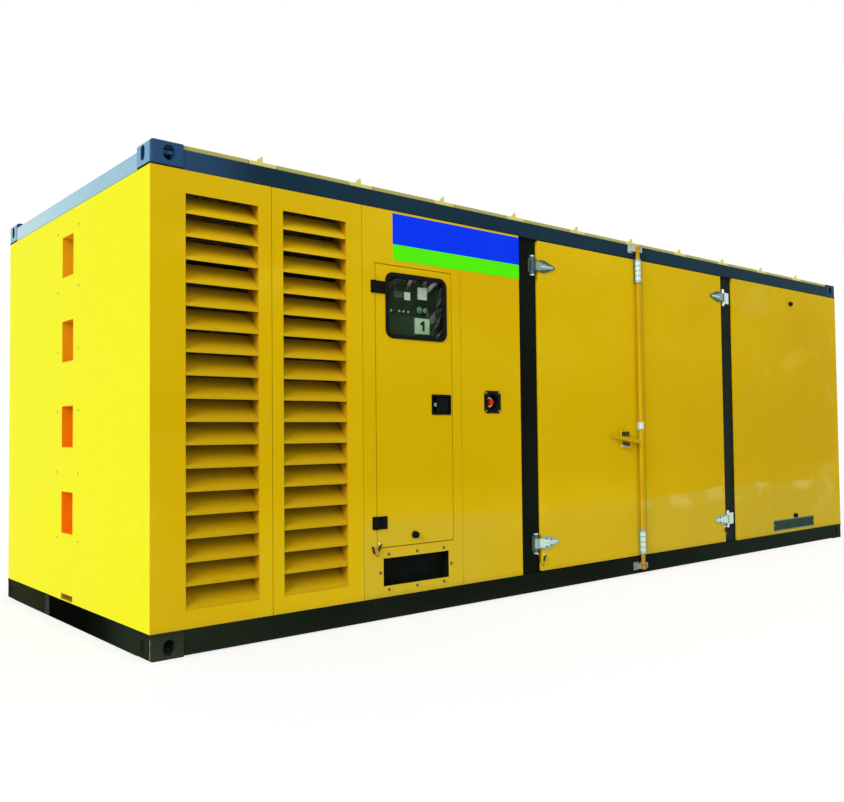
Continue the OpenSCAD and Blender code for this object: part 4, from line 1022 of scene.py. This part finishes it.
def end_rivets():
    """Two columns of rivets beside the step pockets."""
    x = end_wall[0].x
    head = [(7.5, -0.5), (7.5, 0.8), (6, 2.0), (2.5, 2.8)]
    sh = Shape()
    for z in (0.500, 0.895, 1.263, 1.625, 1.990, 2.350):
        for y in (-0.19, 0.18):
            sh.turned(head, Vector((x, y, z)), (-1, 0, 0), 16)
    sh.done("end_rivets", "rivet")


def on_end(x, outline, out, into):
    """A thin solid on the end's face at x, from an outline of (y, z) in metres."""
    return Shape().rings([[Vector((x + dx, y, z)) for y, z in outline] for dx in (out, into)])


def rail_plate():
    """A doubler plate over the far part of the bottom end rail, and its scuffed weld."""
    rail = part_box("bottom_end_rails")
    x = rail[0].x
    y0, y1 = -1.219 + 1.53, rail[1].y
    z0, z1 = rail[0].z + 0.004, rail[1].z - 0.006
    plate = ((y0, z0), (y1, z0), (y1, z1), (y0, z1))
    on_end(x, plate, -0.0018, 0.0005).done("rail_doubler", "frame_olive", bevel=0.8)
    weld = (
        (y0 - 0.004, z0 + 0.010), (y0 + 0.085, z0 + 0.004), (y0 + 0.070, z1), (y0 + 0.012, z1))
    on_end(x, weld, -0.0019, -0.0013).done("rail_doubler_weld", "scuffed", bevel=0.3)


def scuff_and_highlight():
    """Scuffed paint along the near corner of the bottom casting, made paler by a painted highlight
    on the edge.
    """
    edge = Shape().block(0.3, 5.0, 6, 112, -0.5, 0.3)
    edge.done("casting_scuff_and_highlight", "scuff_and_highlight")


end_rivets()
rail_plate()
scuff_and_highlight()

# ---- Roof ----


def roof_screws():
    """Two rows of round heads along each strap."""
    straps, post = span("roof_straps"), span("corner_posts")
    strap_w, pitch, first, from_end = 166, 655, 640, 90
    row = strap_w / 2 - 18
    out = Vector((0, 0, 1))
    heads = Shape()
    top = span("roof_panels")[3]
    for i in range(10):
        for side in (-1, 1):
            s = post[0] + first + pitch * i + side * row
            for k in range(9):
                d = straps[4] + from_end + k * (straps[5] - straps[4] - 2 * from_end) / 8
                dome(heads, s, top, d, 9, 5, out)
    heads.done("roof_screws", "zinc_dark")


roof_screws()

# ---- Service doors: hinges, guides, rod and catch ----

hinge_half = 73
leaves = span("door_hinge_leaves")
lstraps, rstraps = span("left_door_straps"), span("right_door_straps")
hinge_levels = (leaves[2] + hinge_half, leaves[3] - hinge_half)


def hinge_details(side, body, straps):
    """The strap's pressing, rib and screws, and the caps of the pin."""
    tip = straps[1] if side > 0 else straps[0]
    root_s = straps[0] + 13 if side > 0 else straps[1] - 13
    strap_face = span("left_door")[4] - 6
    reach = abs(tip - root_s)
    inset = ((24, -30), (66, -30), (reach - 16, -7), (reach - 16, 7), (66, 30), (24, 30))
    rib_l, rib_w, rib_h, n = reach - 74, 7.5, 4.5, 14
    half_turn = [math.pi * a / 6 for a in range(7)]
    ribs, heads, caps, pressed = Shape(), Shape(), Shape(), Shape()
    for z in hinge_levels:
        outline = [(root_s + side * a, z + side * b) for a, b in inset]
        pressed.prism(outline, strap_face + 0.3, strap_face - 1.6)
        loops = []
        for k in range(n + 1):
            t = k / n
            s = root_s + side * (60 + rib_l * t)
            rise = math.sin(math.pi * min(1, 0.08 + t * 4) / 2)
            fall = math.sin(math.pi * min(1, 0.1 + (1 - t) * 6) / 2)
            w = rib_w * (1 - 0.55 * t) * rise * fall
            h = rib_h * w / rib_w
            loops.append([
                P(s, z + w * math.cos(a), strap_face - 0.9 - h * math.sin(a))
                for a in half_turn])
        ribs.rings(loops)
        for ds, dz in ((88, 27), (88, -27), (138, 18), (138, -18)):
            dome(heads, root_s + side * ds, z + dz, strap_face - 1.5, 7.0, 3.6)
        for e in (-1, 1):
            centre = P(root_s, z + e * hinge_half, 12)
            caps.turned([(13.5, -11), (13.5, -2), (12, -0.4)], centre, (0, 0, e), 20)
    name = "left" if side > 0 else "right"
    pressed.done(name + "_hinge_pressings", "pressing", body, bevel=0.6)
    ribs.done(name + "_hinge_ribs", "zinc_bright", body)
    heads.done(name + "_hinge_screws", "zinc_dark", body)
    caps.done(name + "_pin_caps", "zinc_bright")


hinge_details(1, "left_door", lstraps)
hinge_details(-1, "right_door", rstraps)

guides = span("rod_guides")
rod = span("lock_rod")
rod_s, rod_d = rod[1] - 24, rod[4] + 24
guide_h = 196


def guide_details():
    """Clamp bolts, side plates, ridges and the flared ends of the rod's guides."""
    plate_d = span("right_door")[4] - 5
    ridge = [(22.4, -4), (23.9, -3), (23.9, 3), (22.4, 4)]
    flare = [(22.2, -3), (23.9, 1), (23.9, 8), (18, 10)]
    half = guide_h / 2
    bolts, ridges, sides = Shape(), Shape(), Shape()
    for mid in (guides[3] - half, guides[2] + half):
        for a, b in ((guides[0] + 0.5, guides[0] + 8), (guides[1] - 8, guides[1] - 0.5)):
            sides.block(a, b, mid - half + 2, mid + half - 2, plate_d - 1.4, plate_d + 0.4)
        for share in (-0.34, 0, 0.34):
            bolt(bolts, guides[1] - 18, mid + guide_h * share, plate_d, 7.5, 6.5)
        for share in (-0.40, -0.2, 0, 0.2, 0.40):
            ridges.turned(ridge, P(rod_s, mid + guide_h * share, rod_d), (0, 0, 1), 24)
        for e in (-1, 1):
            ridges.turned(flare, P(rod_s, mid + e * (half - 12), rod_d), (0, 0, e), 24)
    bolts.done("guide_bolts", "zinc_bright", "right_door")
    ridges.done("guide_ridges", "zinc", "right_door")
    sides.done("guide_sides", "strap", "right_door", bevel=0.5)


def lock_rod():
    """The rod with its spool-shaped cams, its hub and the handle with a rounded tip."""
    sh = Shape()
    z0, z1 = rod[2], rod[3]
    cam_h, hub_z = 56, 1020
    centre = P(rod_s, 0, rod_d)
    sh.turned([(16, z0 + 20), (16, z1 - 20)], centre, (0, 0, 1), 28)
    cam = [
        (20, 0), (24, 3), (24, 15), (22, 18), (17.5, 21),
        (17.5, 35), (22, 38), (24, 41), (24, 53), (20, cam_h)]
    hub = [(19, -32), (24, -29), (24, -12), (21.5, -9), (21.5, 9), (24, 12), (24, 29), (19, 32)]
    for base, spool in ((z0, cam), (z1 - cam_h, cam), (hub_z, hub)):
        sh.turned([(r, base + h) for r, h in spool], centre, (0, 0, 1), 28)
    length, half, droop = 350, 14, math.radians(8)
    tip = [math.radians(90 + 180 * i / 10) for i in range(11)]
    bar = [(0, -half), (0, half)] + [
        (-length + half + half * math.cos(a), half * math.sin(a)) for a in tip]
    along, down = math.cos(droop), math.sin(droop)
    handle = [(rod_s + x * along + z * down, hub_z - x * down + z * along) for x, z in bar]
    sh.prism(handle, rod_d - 10, rod_d)
    ob = sh.done("lock_rod_detail", "rod_gold", "lock_rod", bevel=1.5, angle=30)
    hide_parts("lock_rod")
    pin = Shape()
    bolt(pin, rod_s - 24, hub_z + 3.4, rod_d - 10, 6.5, 5)
    pin.done("handle_bolt", "zinc", "lock_rod")


def catch_details():
    """Four bolts on the catch's plate."""
    c = span("handle_catch")
    s, z = (c[0] + c[1]) / 2, (c[2] + c[3]) / 2
    sh = Shape()
    for b in (55.86, -55.86):
        for a in (-24, 24):
            bolt(sh, s - 3 + a, z + b, c[5] - 4, 5.0, 5)
    sh.done("catch_bolts", "zinc_bright", "left_door")


guide_details()
lock_rod()
catch_details()

# ---- Door seals and the doors' meeting edge ----


def door_seals():
    """Rubber lips round the service doorway, behind the closed doors."""
    left, right = span("left_door"), span("right_door")
    d, out = left[5] + 1.5, 6
    sh = Shape()
    sh.border(left[0] - out, right[1] + out, left[2] - out, left[3] + out, 15, d, d + 10)
    sh.done("doorway_seal", "rubber", bevel=3)


def meeting_strip():
    """The folded strip down the right door's free edge, with a darker line beside it: painted
    shade along the fold.
    """
    door = span("right_door")
    s, z0, z1 = door[0] + 92, door[2] + 6, door[3] - 6
    face = door[4]
    strip = Shape().block(door[0] + 4, s, z0, z1, face - 0.8, face + 0.4)
    strip.done("meeting_strip", "gold", "right_door", bevel=0.3)
    # The darker line is painted shade along the strip's fold.
    fold_shade = Shape().block(s, s + 6, z0, z1, face - 0.5, face + 0.4)
    fold_shade.done("meeting_fold_shade", "fold_shade", "right_door")


door_seals()
meeting_strip()

# ---- Earthing links across the hinges ----


def earth_link(name, a, b, sag, body):
    """A short looped wire from a terminal on the frame at a to one on the leaf at b. Each end
    is (s, z, d); the terminals are crimped tubes that hang from their screws."""
    for tag, (s, z, d), on, lean in (("frame", a, "root", -6), ("leaf", b, body, 8)):
        post = Shape()
        post.turned([(7, -1), (7, 1.5), (4.5, 2), (4.5, 9), (3.5, 10)], P(s, z, d), n=14)
        post.done(f"{name}_{tag}_screw", "label", on)
        crimp = Shape()
        top, foot = P(s + lean, z + 2, d - 6), P(s - lean, z - 40, d - 6)
        crimp.tube([top, top.lerp(foot, 0.5), foot], 6.5, 12)
        crimp.done(f"{name}_{tag}_crimp", "copper", on)
    ends = ((a[0] + 6, a[1] - 38, a[2] - 6), (b[0] - 8, b[1] - 38, b[2] - 6))
    n, bow = 28, 13
    pts = []
    for i in range(n + 1):
        t = i / n
        s, z, d = (ends[0][k] + (ends[1][k] - ends[0][k]) * t for k in range(3))
        pts.append(P(s, z - sag * math.sin(math.pi * t), d - bow * math.sin(math.pi * t)))
    wire = Shape()
    wire.tube(pts, 2.4, 8)
    return wire.mesh(f"{name}_wire", "wire")


door_d = span("left_door")[4]
post_face = span("door_posts")[4]
links = (
    ("control_link", (1356, 440, face_d), (1403, 452, cdoor[4]), 26, "control_door"),
    ("left_link", (2796, 250, post_face), (2832, 250, door_d), 34, "left_door"),
    ("right_link", (5190, 270, post_face), (5143, 270, door_d), 34, "right_door"))
for name, a, b, sag, body in links:
    ob = earth_link(name, a, b, sag, body)
    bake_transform(ob)
